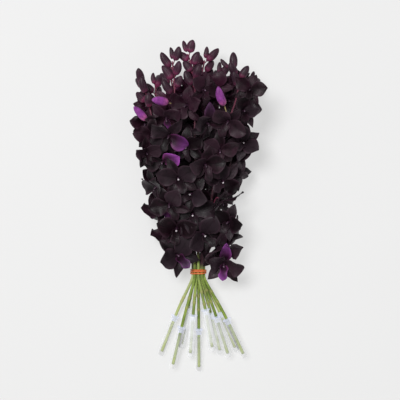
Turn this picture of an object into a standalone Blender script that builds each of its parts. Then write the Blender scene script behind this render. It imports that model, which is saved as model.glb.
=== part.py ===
"""A bunch of ten cut dendrobium orchid sprays, tied with a rubber band, each cut end in a water tube.

The bunch lies on a flat surface at z = 0, with its flowers towards +Y and its front upwards.
Lengths are in millimetres until the meshes are made, which is in metres.
"""

import functools
import itertools
import math
import random
from collections import namedtuple

import bmesh
import bpy
import numpy as np
from mathutils import Matrix, Vector
from mathutils.bvhtree import BVHTree

MM = 0.001
UP = np.array([0.0, 0.0, 1.0])
AHEAD = np.array([0.0, 1.0, 0.0])

# The middle of the bunch's box on the surface, which becomes the part's origin
MIDDLE = np.array([0.83, -7.6, 0.0])

# The tie: where the rubber band holds the stems, in three rows. Below it they bend at once: their
# direction holds for only a short way, which is the bend's share of the next stretch.
TIE = np.array([2.0, -99.6, 31.0])
STEM_PITCH = 5.6
ROW_RISE = 4.4
TIED_LENGTH = 14.0
TIE_BEND = 0.3
BAND_WIDTH = 7.0
BAND_THICKNESS = 1.9
BAND_GROOVE = 0.7
BAND_TURNS = 3
BAND_STATIONS = 16

# The stems
STEM_SIDES = 5
CUT_RADIUS = 2.3
TIED_RADIUS = 2.15
TIP_RADIUS = 1.0
NODE_LENGTH = 5.0
NODE_SWELL = 1.15
STEM_STEP = 30.0

# The water tubes: a round-ended tube, its flanged cap, and the water round the cut stem
TUBE_SIDES = 8
TUBE_LENGTH = 66.0
TUBE_RADIUS = 5.75
TUBE_WALL = 0.9
TUBE_SHOULDER = 5.5
TUBE_NOSE = (4.2, 1.6)
TUBE_SLOPE = math.radians(7.9)
UPPER_TUBE_LIFT = 12.2
CAP_FLANGE_RADIUS = 6.8
CAP_FLANGE = 1.6
CAP_PLUG = 7.0
CUT_END_DEPTH = 8.0
GAP = 0.3

# The sprays, from left to right. Slot is a stem's place at the tie, in stem pitches across and in rows.
# Tube is its tube's end (x, y). Belly is its middle (x, z) at BELLY_Y. Tip is where it ends, and turn is
# how far the end bends to the left, in degrees. First is its first bloom's distance from the tie.
BELLY_Y = 80.0
THROAT_Y = -22.0
THROAT_SHARE = 0.5
Plan = namedtuple("Plan", "slot upper tube belly tip turn first buds")
PLANS = (
    Plan((-1.5, 0), False, (-57.1, -231.3), (-46.0, 35.0), (-64.0, 184.0, 36.0), 0, 28, 4),
    Plan((-1.0, 1), True, (-38.6, -249.8), (-58.0, 64.0), (-84.0, 186.0, 58.0), 15, 42, 5),
    Plan((-1.0, -1), False, (-24.8, -220.5), (-22.0, 30.0), (-40.0, 196.0, 30.0), 0, 40, 3),
    Plan((-0.5, 0), True, (-10.9, -232.9), (-34.0, 76.0), (-37.0, 216.0, 80.0), 10, 30, 6),
    Plan((0.0, -1), False, (3.0, -256.0), (4.0, 28.0), (12.0, 222.0, 46.0), -10, 30, 5),
    Plan((0.0, 1), True, (24.5, -223.6), (-3.0, 80.0), (-15.0, 227.0, 76.0), 20, 44, 6),
    Plan((0.5, 0), False, (36.9, -229.8), (28.0, 30.0), (34.0, 200.0, 36.0), 0, 42, 3),
    Plan((1.0, 1), True, (49.2, -232.9), (32.0, 76.0), (47.0, 203.0, 82.0), 70, 30, 4),
    Plan((1.0, -1), False, (61.5, -225.2), (46.0, 35.0), (66.0, 176.0, 36.0), -10, 32, 4),
    Plan((1.5, 0), True, (73.8, -232.9), (54.0, 64.0), (80.0, 184.0, 58.0), -10, 40, 4),
)

# The blooms and buds along a spray
FIRST_NODE = 10.0
MOST_NODES = 14
BLOOM_PITCH = 27.0
BLOOM_STRAY = 10.0
NODE_ROOM = 9.0
BUD_PITCH = 9.5
TIP_ROOM = 8.0
STALK_RADIUS = 1.2
STALK_SIDES = 3
BLOOM_REACH = (19.0, 30.0)
BLOOM_SWING = 36.0
BLOOM_LEAN = 28.0
BLOOM_TURN_SHARE = 0.7
BLOOM_TILT = 22.0
BLOOM_SCALE = ((0.0, 0.6, 1.0), (1.04, 1.0, 0.8))
BLOOM_SCALE_STRAY = 0.06

# From this share of the way to the tip, blooms are ever less open, and face more along the stem
YOUNG_FROM = 0.66
YOUNG_CUP = 0.4
YOUNG_TILT = -50.0
BUD_REACH = (4.0, 9.0)
BUD_SWING = 50.0
BUD_LEAN = 40.0
BUD_LENGTH = (16.0, 23.0)
BUD_RADIUS = 5.6
BUD_SIDES = 4
BUD_PROFILE = ((0.38, 1.0), (0.76, 0.7))
BUD_STALK_RADIUS = 1.1
BUD_FOOT_RISE = 2.4
TIP_BUD_PROFILE = ((4.5, 0.7), (10.0, 0.5))
TIP_BUD_LENGTH = 15.0

# A stalk starts this share of the stem's radius out from its middle. The second pair is how far the
# stalk's ends hold their directions, as shares of its reach.
STALK_FOOT = 0.6
STALK_HOLD = (0.4, 0.35)

# How far the angles of blooms and buds stray to either side of their rules, in degrees at a stray of 1
SWING_STRAY = (-40.0, 40.0)
LEAN_STRAY = (-35.0, 30.0)
TURN_STRAY = (-50.0, 50.0)
TILT_STRAY = (-30.0, 40.0)
ROLL_STRAY = (-45.0, 45.0)
BUD_SWING_STRAY = (-60.0, 60.0)
BUD_LEAN_STRAY = (-25.0, 25.0)

# Half-open buds that stay in view: the spray's number, the height y where its stalk leaves the stem, the
# way that it points, the stalk's length, and the bud's length and radius
Pale = namedtuple("Pale", "spray y way reach length radius")
PALE_BUDS = (
    Pale(4, 150.0, (-0.90, 0.12, 0.42), 10.0, 25.0, 5.8),
    Pale(8, 128.0, (-0.33, 0.90, 0.30), 24.0, 27.0, 6.0),
    Pale(2, 117.0, (-0.66, 0.70, 0.28), 15.0, 26.0, 5.6),
)
VIEW_TOP = 140.0

# Where blooms that face straight up have their middles (x, y)
FRONT_SPOTS = (
    (40.0, -86.0),
    (-7.5, 18.0),
    (-6.0, -12.0),
    (-30.0, -33.0),
    (9.0, -42.0),
    (-27.0, 40.5),
    (37.5, 37.5),
    (69.0, 93.0),
    (-30.0, -74.0),
    (47.0, -24.0),
    (-54.0, -46.0),
    (55.0, 12.0),
)
FRONT_RISE = (8.0, 26.0)
FRONT_REACH = 36.0
FRONT_LEAD = np.array([0.0, 10.0])
FRONT_FACE = ((-0.4, 0.4), (-0.6, 0.1))
FRONT_ROLL = (-60.0, 60.0)
FRONT_LEAVE = (0.5, 0.3)
FRONT_PLACES = 10
FRONT_TRIES = 12
COVER_TRIES = 8

# The flowers' outline from above: how far they reach to the left and right at heights y
OUTLINE_Y = (-118, -96, -72, -45, -9, 27, 63, 87, 117, 147, 165, 195, 219, 240)
OUTLINE_LEFT = (-16, -40, -64, -72, -77, -79, -90, -93, -95, -104, -94, -96, -56, -42)
OUTLINE_RIGHT = (54, 64, 69, 67, 63, 72, 84, 94, 94, 102, 104, 88, 62, 22)
COVER_STEP = 9.0
COVER_SCALE = 0.88
COVER_INSET = 9.0
COVER_Y = (-84.0, 214.0)

# With this many blooms in place, no more are added along the sides
MOST_BLOOMS = 71

# The tie stays in view: no bloom reaches into this block over it (low and high corners)
VIEW_OF_TIE = ((-13.0, -110.0, 20.0), (17.0, -89.0, VIEW_TOP))

# One bloom, facing +z with its upper sepal towards +y. A blade is its azimuth in degrees, its length,
# its width, where it is widest, how its end narrows, its lift from the bloom's plane, its curl, its
# share of the bloom's closing, and the places along it where its shape is set.
Blade = namedtuple("Blade", "azimuth length width widest ending lift curl closing stations")
SEPALS = (
    Blade(312.0, 26.0, 15.0, 0.42, 1.7, 0.10, -0.45, 0.6, (0.48, 0.95)),
    Blade(90.0, 27.0, 15.0, 0.45, 1.8, 0.12, -0.40, 0.2, (0.48, 0.95)),
    Blade(228.0, 26.0, 15.0, 0.42, 1.7, 0.10, -0.45, 0.6, (0.48, 0.95)),
)
PETALS = (
    Blade(20.0, 28.0, 25.0, 0.62, 2.2, 0.22, -0.35, 1.0, (0.32, 0.68, 0.97)),
    Blade(160.0, 28.0, 25.0, 0.62, 2.2, 0.22, -0.35, 1.0, (0.32, 0.68, 0.97)),
    Blade(270.0, 21.0, 16.0, 0.52, 1.6, 0.85, -0.70, 0.3, (0.5, 0.95)),
)
BLADE_ROOT_SHARE = 0.3
BLADE_THICKNESS = 0.8
COLUMN_APEX = np.array([0.0, -1.0, 6.5])

# A bloom's hub is two three-sided prisms: the distance of their sides, and their two heights
BACK_HUB = (2.0, -1.4, -0.4)
FRONT_HUB = (1.7, 0.4, 1.4)
HUB_BACK = 4.0

# Finding room for each bloom: how far its petals may close, and the room kept round it
SEED = 14
ATTEMPTS = 160
CUPS = (0.0, 0.3, 0.55)
CLEARANCE = 0.5
LEAST_STRAY = 0.25
CLUB_MIDDLE_Z = 52.0
CLUB_HALF_WIDTH = 95.0
CLUB_HALF_HEIGHT = 56.0
UPPER_LEAN = 0.45
LOWER_LEAN = -0.3
LAID_FROM = -14.0
LAID_TO = 5.0


def unit(vector):
    return vector / np.linalg.norm(vector)


def turned(vector, axis, angle):
    """A vector turned about a unit axis by an angle in radians."""
    across = np.cross(axis, vector)
    onward = axis * np.dot(axis, vector)
    return vector * math.cos(angle) + across * math.sin(angle) + onward * (1 - math.cos(angle))


def square_to(vector, axis):
    """The unit vector nearest to a vector that is square to a unit axis."""
    return unit(vector - axis * np.dot(vector, axis))


class Shell:
    """The points and triangles of one closed surface, grown loop by loop.

    Every loop runs counter-clockwise as seen from where the surface grows to.
    """

    def __init__(self):
        self.points = []
        self.faces = []

    def loop(self, points):
        first = len(self.points)
        self.points.extend(points)
        return list(range(first, first + len(points)))

    def band(self, old, new, i):
        j = (i + 1) % len(old)
        self.faces.append((old[i], old[j], new[j]))
        self.faces.append((old[i], new[j], new[i]))

    def join(self, old, new):
        """A band of triangles between two loops with as many points each."""
        for i in range(len(old)):
            self.band(old, new, i)

    def stitch(self, old, new):
        """A band of triangles between any two loops, turned to the shortest links."""
        links = [(0, 0)]
        while links[-1] != (len(old), len(new)):
            a, b = links[-1]
            by_old = (a + 0.5) / len(old) <= (b + 0.5) / len(new)
            links.append((a + 1, b) if by_old else (a, b + 1))
        at = np.array(self.points)
        gaps = np.linalg.norm(at[old][:, None] - at[new][None], axis=2)

        def cost(turn):
            return sum(gaps[(a + turn[0]) % len(old), (b + turn[1]) % len(new)] for a, b in links)

        turns = [(i, j) for i in range(len(old)) for j in range(len(new))]
        i, j = min(turns, key=cost)
        for (a, b), (next_a, next_b) in zip(links, links[1:]):
            here = (old[(a + i) % len(old)], new[(b + j) % len(new)])
            if next_a > a:
                self.faces.append((here[0], old[(next_a + i) % len(old)], here[1]))
            else:
                self.faces.append((here[0], new[(next_b + j) % len(new)], here[1]))

    def fan(self, loop, apex):
        """Closes a loop with a point."""
        top = self.loop([apex])[0]
        for i in range(len(loop)):
            self.faces.append((loop[i], loop[(i + 1) % len(loop)], top))

    def lid(self, loop):
        """Closes a loop with flat triangles."""
        for i in range(1, len(loop) - 1):
            self.faces.append((loop[0], loop[i], loop[i + 1]))


def ring(centre, direction, radius, sides, start):
    """Points round a centre, counter-clockwise as seen from along the direction."""
    first = square_to(start, direction)
    second = np.cross(direction, first)
    turns = [2 * math.pi * i / sides for i in range(sides)]
    return [centre + radius * (math.cos(a) * first + math.sin(a) * second) for a in turns]


class Path:
    """A smooth curve through points with given directions, measured along its length."""

    STEPS = 24

    def __init__(self, points, directions):
        found = []
        for a, b, da, db in zip(points, points[1:], directions, directions[1:]):
            reach = np.linalg.norm(b - a)
            for t in np.linspace(0, 1, self.STEPS, endpoint=False):
                found.append(
                    a * (2 * t**3 - 3 * t**2 + 1)
                    + b * (3 * t**2 - 2 * t**3)
                    + da * reach * (t**3 - 2 * t**2 + t)
                    + db * reach * (t**3 - t**2)
                )
        self.points = np.array([*found, points[-1]])
        steps = np.linalg.norm(np.diff(self.points, axis=0), axis=1)
        self.lengths = np.concatenate([[0], np.cumsum(steps)])
        self.length = float(self.lengths[-1])

    def at(self, length):
        return np.array([np.interp(length, self.lengths, self.points[:, i]) for i in range(3)])

    def direction(self, length):
        low = min(max(length - 2, 0), self.length - 4)
        return unit(self.at(low + 4) - self.at(low))


class Spray:
    """Where one stem runs, from its cut end in the tube to the tip of its flowers."""

    def __init__(self, plan):
        self.plan = plan
        across, row = plan.slot
        slot = TIE + np.array([across * STEM_PITCH, 0, row * ROW_RISE])
        flat = TUBE_RADIUS * math.cos(math.pi / TUBE_SIDES)
        low = flat * math.cos(TUBE_SLOPE) - TUBE_SHOULDER * math.sin(TUBE_SLOPE)
        self.tube_end = np.array([*plan.tube, low + (UPPER_TUBE_LIFT if plan.upper else 0)])
        level = unit(np.array([slot[0] - plan.tube[0], slot[1] - plan.tube[1], 0.0]))
        self.tube_way = level * math.cos(TUBE_SLOPE) + UP * math.sin(TUBE_SLOPE)
        half_tie = AHEAD * TIED_LENGTH / 2
        throat_x = TIE[0] + (plan.belly[0] - TIE[0]) * THROAT_SHARE
        throat = np.array([throat_x, THROAT_Y, (slot[2] + plan.belly[1]) / 2])
        belly = np.array([plan.belly[0], BELLY_Y, plan.belly[1]])
        tip = np.array(plan.tip)
        points = [
            self.tube_end + self.tube_way * CUT_END_DEPTH,
            self.tube_end + self.tube_way * (TUBE_LENGTH + CAP_PLUG),
            slot - half_tie,
            slot + half_tie,
            throat,
            belly,
            tip,
        ]
        directions = [
            self.tube_way,
            self.tube_way,
            AHEAD * TIE_BEND,
            AHEAD,
            unit(belly - slot),
            unit(tip - throat),
            turned(unit(tip - belly), UP, math.radians(plan.turn)),
        ]
        self.path = Path(points, directions)
        self.leaves_cap = TUBE_LENGTH + CAP_PLUG - CUT_END_DEPTH
        self.tie_start = float(self.path.lengths[2 * Path.STEPS])
        self.tie_end = float(self.path.lengths[3 * Path.STEPS])

    def radius(self, length):
        along = [0, self.tie_start, self.path.length]
        return float(np.interp(length, along, [CUT_RADIUS, TIED_RADIUS, TIP_RADIUS]))

    def age(self, length):
        """How near a place on the stem is to its tip: 0 at the tie and 1 at the tip."""
        return (length - self.tie_end) / (self.path.length - self.tie_end)

    def youth(self, length):
        return max(self.age(length) - YOUNG_FROM, 0.0) / (1 - YOUNG_FROM)

    def ring(self, length, swell=1.0):
        centre = self.path.at(length)
        return ring(centre, self.path.direction(length), self.radius(length) * swell, STEM_SIDES, UP)

    def outward(self, length):
        """The way out of the bunch, square to the stem."""
        here = self.path.at(length)
        middle_x = np.interp(here[1], [TIE[1], BELLY_Y], [TIE[0], 0.0])
        middle_z = np.interp(here[1], [TIE[1], BELLY_Y], [TIE[2], CLUB_MIDDLE_Z])
        across = (here[0] - middle_x) / CLUB_HALF_WIDTH**2
        rise = (here[2] - middle_z) / CLUB_HALF_HEIGHT**2
        lean = UPPER_LEAN if self.plan.upper else LOWER_LEAN
        return square_to(unit(np.array([across, 0, rise])) + UP * lean, self.path.direction(length))


def hub_corners(azimuths, distance, height):
    """The three corners of a hub's triangle: corner i is where side i begins."""
    sides = [math.radians(a) for a in azimuths]
    corners = []
    for before, after in zip(sides[-1:] + sides[:-1], sides):
        facing = np.array([[math.cos(before), math.sin(before)], [math.cos(after), math.sin(after)]])
        corners.append(np.array([*np.linalg.solve(facing, [distance, distance]), height]))
    return corners


def blade_width(blade, u):
    """A blade's width at u along it: it swells from its root to its widest, then closes to its end."""
    if u < blade.widest:
        swell = math.sin(math.pi / 2 * u / blade.widest)
        return blade.width * (BLADE_ROOT_SHARE + (1 - BLADE_ROOT_SHARE) * swell)
    return blade.width * (1 - ((u - blade.widest) / (1 - blade.widest)) ** blade.ending)


def blade_loops(blade, root, cup, margin):
    """The four-sided loops of one petal or sepal, each counter-clockwise as seen from outside."""
    angle = math.radians(blade.azimuth)
    outward = np.array([math.cos(angle), math.sin(angle), 0.0])
    across = np.array([-math.sin(angle), math.cos(angle), 0.0])
    lift = blade.lift + cup * blade.closing
    curl = blade.curl
    loops = []
    for u in blade.stations:
        slope = lift + curl * u
        reach = blade.length * (math.sin(slope) - math.sin(lift)) / curl
        rise = blade.length * (math.cos(lift) - math.cos(slope)) / curl
        normal = UP * math.cos(slope) - outward * math.sin(slope)
        centre = root + outward * (reach + margin) + UP * rise
        half = across * (blade_width(blade, u) / 2 + margin)
        thick = normal * (BLADE_THICKNESS / 2 + margin)
        back = centre - thick
        front = centre + thick
        loops.append([back - half, back + half, front + half, front - half])
    return loops


def grow_blades(shell, hub, blades, cup, margin):
    """A three-sided hub with a blade on each side. Gives its back loop and its front loop."""
    distance, back, front = hub
    azimuths = [blade.azimuth for blade in blades]
    back_loop = shell.loop(hub_corners(azimuths, distance, back))
    front_loop = shell.loop(hub_corners(azimuths, distance, front))
    for side, blade in enumerate(blades):
        after = (side + 1) % len(blades)
        angle = math.radians(blade.azimuth)
        root = np.array([distance * math.cos(angle), distance * math.sin(angle), (back + front) / 2])
        last = [back_loop[side], back_loop[after], front_loop[after], front_loop[side]]
        for points in blade_loops(blade, root, cup, margin):
            new = shell.loop(points)
            shell.join(last, new)
            last = new
        shell.lid(last)
    return back_loop, front_loop


@functools.cache
def bloom_head(cup, margin=0.0):
    """A bloom in its own frame, open at its back. Gives its points, its faces and its open back loop."""
    shell = Shell()
    back_loop, behind = grow_blades(shell, BACK_HUB, SEPALS, cup, margin)
    before, front_loop = grow_blades(shell, FRONT_HUB, PETALS, cup, margin)
    shell.stitch(behind, before)
    shell.fan(front_loop, COLUMN_APEX)
    return np.array(shell.points), shell.faces, back_loop


class Bloom:
    """One bloom on its stalk: where it is, which way it faces, and how far its petals close."""

    STALK_STATIONS = (0.2, 0.65)

    def __init__(self, length, start, leave, centre, face, up, scale, cup):
        self.length = length
        self.start = start
        self.leave = leave
        self.centre = centre
        self.face = face
        self.up = up
        self.right = np.cross(up, face)
        self.scale = scale
        self.cup = cup

    def place(self, points):
        """Points of the bloom's own frame, in the bunch."""
        axes = np.array([self.right, self.up, self.face])
        return self.centre + self.scale * (points @ axes)

    def stalk(self, t, stem_radius):
        """A point of the stalk, from the stem at 0 to the bloom's back at 1."""
        a = self.start + self.leave * stem_radius * STALK_FOOT
        d = self.centre - self.face * HUB_BACK * self.scale
        reach = np.linalg.norm(d - a)
        b = a + self.leave * reach * STALK_HOLD[0]
        c = d - self.face * reach * STALK_HOLD[1]
        s = 1 - t
        return a * s**3 + b * 3 * t * s**2 + c * 3 * t**2 * s + d * t**3

    def stalk_ring(self, t, stem_radius, radius):
        onward = unit(self.stalk(t + 0.04, stem_radius) - self.stalk(t - 0.04, stem_radius))
        return ring(self.stalk(t, stem_radius), onward, radius, STALK_SIDES, -self.up)

    def lay_down(self):
        """Sets a bloom that is close to the surface down on it, on its lowest petals."""
        lowest = self.place(bloom_head(self.cup)[0])[:, 2].min()
        if LAID_FROM < lowest < LAID_TO:
            self.centre = self.centre - UP * lowest

    def bodies(self, stem_radius, margin):
        """The surfaces to keep clear, each with whether it may touch its own stem."""
        points, faces, back_loop = bloom_head(self.cup, margin)
        stalk = Shell()
        last = stalk.loop(self.stalk_ring(0.0, stem_radius, NODE_LENGTH / 2 + margin))
        for t in self.STALK_STATIONS:
            new = stalk.loop(self.stalk_ring(t, stem_radius, STALK_RADIUS + margin))
            stalk.join(last, new)
            last = new
        stalk.stitch(last, stalk.loop(self.place(points[back_loop])))
        return [(self.place(points), faces, False), (np.array(stalk.points), stalk.faces, True)]

    def grow(self, shell, hole, stem_radius):
        """Adds the stalk and the bloom to a spray, from a hole in its stem."""
        last = hole
        for t in self.STALK_STATIONS:
            new = shell.loop(self.stalk_ring(t, stem_radius, STALK_RADIUS))
            shell.stitch(last, new)
            last = new
        points, faces, back_loop = bloom_head(self.cup)
        first = len(shell.points)
        shell.points.extend(self.place(points))
        shell.faces.extend(tuple(first + i for i in face) for face in faces)
        shell.stitch(last, [first + i for i in back_loop])


class Bud:
    """One closed or half-open bud on its stalk."""

    def __init__(self, length, start, leave, reach, size, radius=BUD_RADIUS):
        self.length = length
        self.start = start
        self.leave = leave
        self.reach = reach
        self.size = size
        self.radius = radius

    def rings(self, stem_radius, margin):
        foot = self.start + self.leave * (stem_radius * STALK_FOOT + BUD_FOOT_RISE)
        yield ring(foot, self.leave, BUD_STALK_RADIUS + margin, STALK_SIDES, AHEAD)
        top = self.start + self.leave * self.reach
        yield ring(top, self.leave, BUD_STALK_RADIUS + margin, STALK_SIDES, AHEAD)
        for share, width in BUD_PROFILE:
            centre = top + self.leave * self.size * share
            yield ring(centre, self.leave, self.radius * width + margin, BUD_SIDES, AHEAD)

    def add(self, shell, last, stem_radius, margin):
        for points in self.rings(stem_radius, margin):
            new = shell.loop(points)
            shell.stitch(last, new)
            last = new
        shell.fan(last, self.start + self.leave * (self.reach + self.size + margin))

    def bodies(self, stem_radius, margin):
        shell = Shell()
        foot = shell.loop(ring(self.start, self.leave, NODE_LENGTH / 2 + margin, STALK_SIDES, AHEAD))
        self.add(shell, foot, stem_radius, margin)
        return [(np.array(shell.points), shell.faces, True)]

    def grow(self, shell, hole, stem_radius):
        self.add(shell, hole, stem_radius, 0.0)

    def view(self):
        """The block over the bud that its view from above passes through: its low and high corners."""
        ends = np.array([self.start + self.leave * at for at in (self.reach, self.reach + self.size)])
        low = ends.min(axis=0) - self.radius / 2
        low[2] = ends[:, 2].max() + self.radius
        high = ends.max(axis=0) + self.radius / 2
        high[2] = VIEW_TOP
        return low, high


def bloom_scale(spray, length, rng):
    """Blooms are a little smaller towards the tip."""
    usual = float(np.interp(spray.age(length), *BLOOM_SCALE))
    return usual + rng.uniform(-BLOOM_SCALE_STRAY, BLOOM_SCALE_STRAY)


def side_bloom(spray, length, side, rng, stray, cup):
    """A bloom that leaves the stem to one side and faces out of the bunch, a little towards the tie."""
    along = spray.path.direction(length)
    outward = spray.outward(length)
    swing = side * math.radians(BLOOM_SWING + stray * rng.uniform(*SWING_STRAY))
    lean = math.radians(BLOOM_LEAN + stray * rng.uniform(*LEAN_STRAY))
    leave = unit(turned(outward, along, swing) * math.cos(lean) + along * math.sin(lean))
    low, high = BLOOM_REACH
    start = spray.path.at(length)
    turn = swing * BLOOM_TURN_SHARE + math.radians(stray * rng.uniform(*TURN_STRAY))
    youth = spray.youth(length)
    tilt = math.radians(BLOOM_TILT + (YOUNG_TILT - BLOOM_TILT) * youth + stray * rng.uniform(*TILT_STRAY))
    face = unit(turned(outward, along, turn) * math.cos(tilt) - along * math.sin(tilt))
    up = turned(square_to(along, face), face, math.radians(stray * rng.uniform(*ROLL_STRAY)))
    scale = bloom_scale(spray, length, rng)
    centre = start + leave * (low + (high - low) * rng.random()) * scale
    return Bloom(length, start, leave, centre, face, up, scale, cup + round(YOUNG_CUP * youth, 1))


def front_bloom(spray, length, spot, rng, cup, share):
    """A bloom that faces up, with its middle over a given spot, at a share of its usual size."""
    start = spray.path.at(length)
    centre = np.array([*spot, start[2] + rng.uniform(*FRONT_RISE)])
    face = unit(np.array([*(rng.uniform(*ends) for ends in FRONT_FACE), 1.0]))
    onward, upward = FRONT_LEAVE
    leave = unit(unit(centre - start) + onward * spray.path.direction(length) + upward * UP)
    up = turned(square_to(AHEAD, face), face, math.radians(rng.uniform(*FRONT_ROLL)))
    return Bloom(length, start, leave, centre, face, up, bloom_scale(spray, length, rng) * share, cup)


def side_bud(spray, length, side, rng, stray):
    along = spray.path.direction(length)
    swing = side * math.radians(BUD_SWING + stray * rng.uniform(*BUD_SWING_STRAY))
    lean = math.radians(BUD_LEAN + stray * rng.uniform(*BUD_LEAN_STRAY))
    leave = turned(spray.outward(length), along, swing)
    way = unit(leave * math.cos(lean) + along * math.sin(lean))
    return Bud(length, spray.path.at(length), way, rng.uniform(*BUD_REACH), rng.uniform(*BUD_LENGTH))


def block(low, high):
    """A plain box's points and faces."""
    points = np.array(list(itertools.product(*zip(low, high))))
    return points, [(0, 1, 3, 2), (4, 6, 7, 5), (0, 4, 5, 1), (2, 3, 7, 6), (0, 2, 6, 4), (1, 5, 7, 3)]


def inside_outline(points):
    left = np.interp(points[:, 1], OUTLINE_Y, OUTLINE_LEFT)
    right = np.interp(points[:, 1], OUTLINE_Y, OUTLINE_RIGHT)
    return bool(((points[:, 0] > left) & (points[:, 0] < right)).all())


def tree_of(points, faces):
    return BVHTree.FromPolygons(points.tolist(), faces)


class Room:
    """What has been placed so far, so that the next bloom can be set clear of it."""

    def __init__(self, sprays, band):
        self.sprays = sprays
        self.stems = [self.stem_tree(spray) for spray in sprays]
        self.growths = [[] for _ in sprays]
        self.points = np.zeros((0, 3))
        self.faces = []
        self.take(np.array(band.points), band.faces)
        self.take(*block(*VIEW_OF_TIE))
        self.blooms = 0

    @staticmethod
    def stem_tree(spray):
        shell = Shell()
        last = None
        for length in np.arange(0, spray.path.length, 6.0):
            new = shell.loop(spray.ring(length, NODE_SWELL))
            if last:
                shell.join(last, new)
            last = new
        *rings, point = tip_rings(spray, CLEARANCE)
        for points in rings:
            new = shell.loop(points)
            shell.join(last, new)
            last = new
        shell.fan(last, point[0])
        return tree_of(np.array(shell.points), shell.faces)

    def take(self, points, faces):
        first = len(self.points)
        self.points = np.vstack([self.points, points])
        self.faces += [tuple(first + i for i in face) for face in faces]
        self.tree = tree_of(self.points, self.faces)

    def node_free(self, own, length):
        return all(abs(length - growth.length) > NODE_ROOM for growth in self.growths[own])

    def offer(self, growth, own):
        """Takes a growth in if it has room, and says whether it had."""
        if not self.node_free(own, growth.length):
            return False
        radius = self.sprays[own].radius(growth.length)
        for points, faces, may_touch in growth.bodies(radius, CLEARANCE):
            if points[:, 2].min() < -CLEARANCE or not inside_outline(points):
                return False
            tree = tree_of(points, faces)
            if tree.overlap(self.tree):
                return False
            for i, stem in enumerate(self.stems):
                if not (may_touch and i == own) and tree.overlap(stem):
                    return False
        for points, faces, _ in growth.bodies(radius, 0.0):
            self.take(points, faces)
        self.growths[own].append(growth)
        self.blooms += isinstance(growth, Bloom)
        return True

    def open_from_above(self, spot):
        above = Vector((*spot, 1000.0))
        return self.tree.ray_cast(above, Vector((0, 0, -1)))[0] is None


def reach_spot(room, spot, rng, upper_only, tries, share):
    """Puts a bloom that faces up over a spot, on the stem that reaches it best."""
    places = []
    for own, spray in enumerate(room.sprays):
        if upper_only and not spray.plan.upper:
            continue
        for length in np.arange(spray.tie_end + FIRST_NODE, spray.path.length - TIP_ROOM, NODE_LENGTH):
            ahead = np.array(spot) - spray.path.at(length)[:2]
            if np.linalg.norm(ahead) < FRONT_REACH and room.node_free(own, length):
                places.append((np.linalg.norm(ahead - FRONT_LEAD), own, float(length)))
    for _, own, length in sorted(places)[:FRONT_PLACES]:
        for _ in range(tries):
            bloom = front_bloom(room.sprays[own], length, spot, rng, rng.choice(CUPS), share)
            if room.offer(bloom, own):
                return


def add_sides(room, upper, rng):
    """Blooms along the upper or the lower sprays, from the tie onwards."""
    for k in range(MOST_NODES):
        for own, spray in enumerate(room.sprays):
            if spray.plan.upper != upper or room.blooms >= MOST_BLOOMS:
                continue
            base = spray.tie_end + spray.plan.first + k * BLOOM_PITCH
            if base > spray.path.length - TIP_ROOM - spray.plan.buds * BUD_PITCH:
                continue
            side = 1 if (k + own) % 2 else -1
            for attempt in range(ATTEMPTS):
                stray = attempt / ATTEMPTS
                length = base + stray * rng.uniform(-BLOOM_STRAY, BLOOM_STRAY)
                bloom = side_bloom(spray, length, side, rng, LEAST_STRAY + stray, rng.choice(CUPS))
                bloom.lay_down()
                if room.offer(bloom, own):
                    break


def add_pale_buds(room):
    """The half-open buds, each with the view of it from above kept clear."""
    for pale in PALE_BUDS:
        own = pale.spray - 1
        path = room.sprays[own].path
        length = float(np.interp(pale.y, path.points[:, 1], path.lengths))
        way = unit(np.array(pale.way))
        bud = Bud(length, path.at(length), way, pale.reach, pale.length, pale.radius)
        if room.offer(bud, own):
            room.take(*block(*bud.view()))


def add_buds(room, rng):
    for own, spray in enumerate(room.sprays):
        for k in range(spray.plan.buds):
            length = spray.path.length - TIP_ROOM - k * BUD_PITCH
            side = 1 if (k + own) % 2 else -1
            for attempt in range(ATTEMPTS):
                bud = side_bud(spray, length, side, rng, LEAST_STRAY + attempt / ATTEMPTS)
                if room.offer(bud, own):
                    break


def add_cover(room, rng):
    """Blooms where the surface below would still show between the flowers."""
    for y in np.arange(*COVER_Y, COVER_STEP):
        left = np.interp(y, OUTLINE_Y, OUTLINE_LEFT) + COVER_INSET
        right = np.interp(y, OUTLINE_Y, OUTLINE_RIGHT) - COVER_INSET
        for x in np.arange(left, right, COVER_STEP):
            if room.open_from_above((x, y)):
                reach_spot(room, (x, y), rng, False, COVER_TRIES, COVER_SCALE)


def arrange(sprays, band):
    """Every bloom and bud, a list for each spray."""
    rng = random.Random(SEED)
    room = Room(sprays, band)
    add_pale_buds(room)
    for spot in FRONT_SPOTS:
        reach_spot(room, spot, rng, True, FRONT_TRIES, 1.0)
    add_buds(room, rng)
    add_sides(room, True, rng)
    add_cover(room, rng)
    add_sides(room, False, rng)
    add_cover(room, rng)
    return room.growths


def tip_rings(spray, margin=0.0):
    """The bud that ends a stem: its rings and its point."""
    length = spray.path.length
    tip = spray.path.at(length)
    way = spray.path.direction(length)
    rings = []
    for rise, width in TIP_BUD_PROFILE:
        rings.append(ring(tip + way * rise, way, BUD_RADIUS * width + margin, STEM_SIDES, UP))
    return [*rings, [tip + way * (TIP_BUD_LENGTH + margin)]]


def add_stem(shell, spray, last, start, end):
    """Bare stem on the way between two places, with a ring wherever it may bend. Gives its last ring."""
    steps = math.ceil((end - start) / STEM_STEP)
    for i in range(1, steps):
        new = shell.loop(spray.ring(start + (end - start) * i / steps))
        shell.join(last, new)
        last = new
    return last


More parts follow.
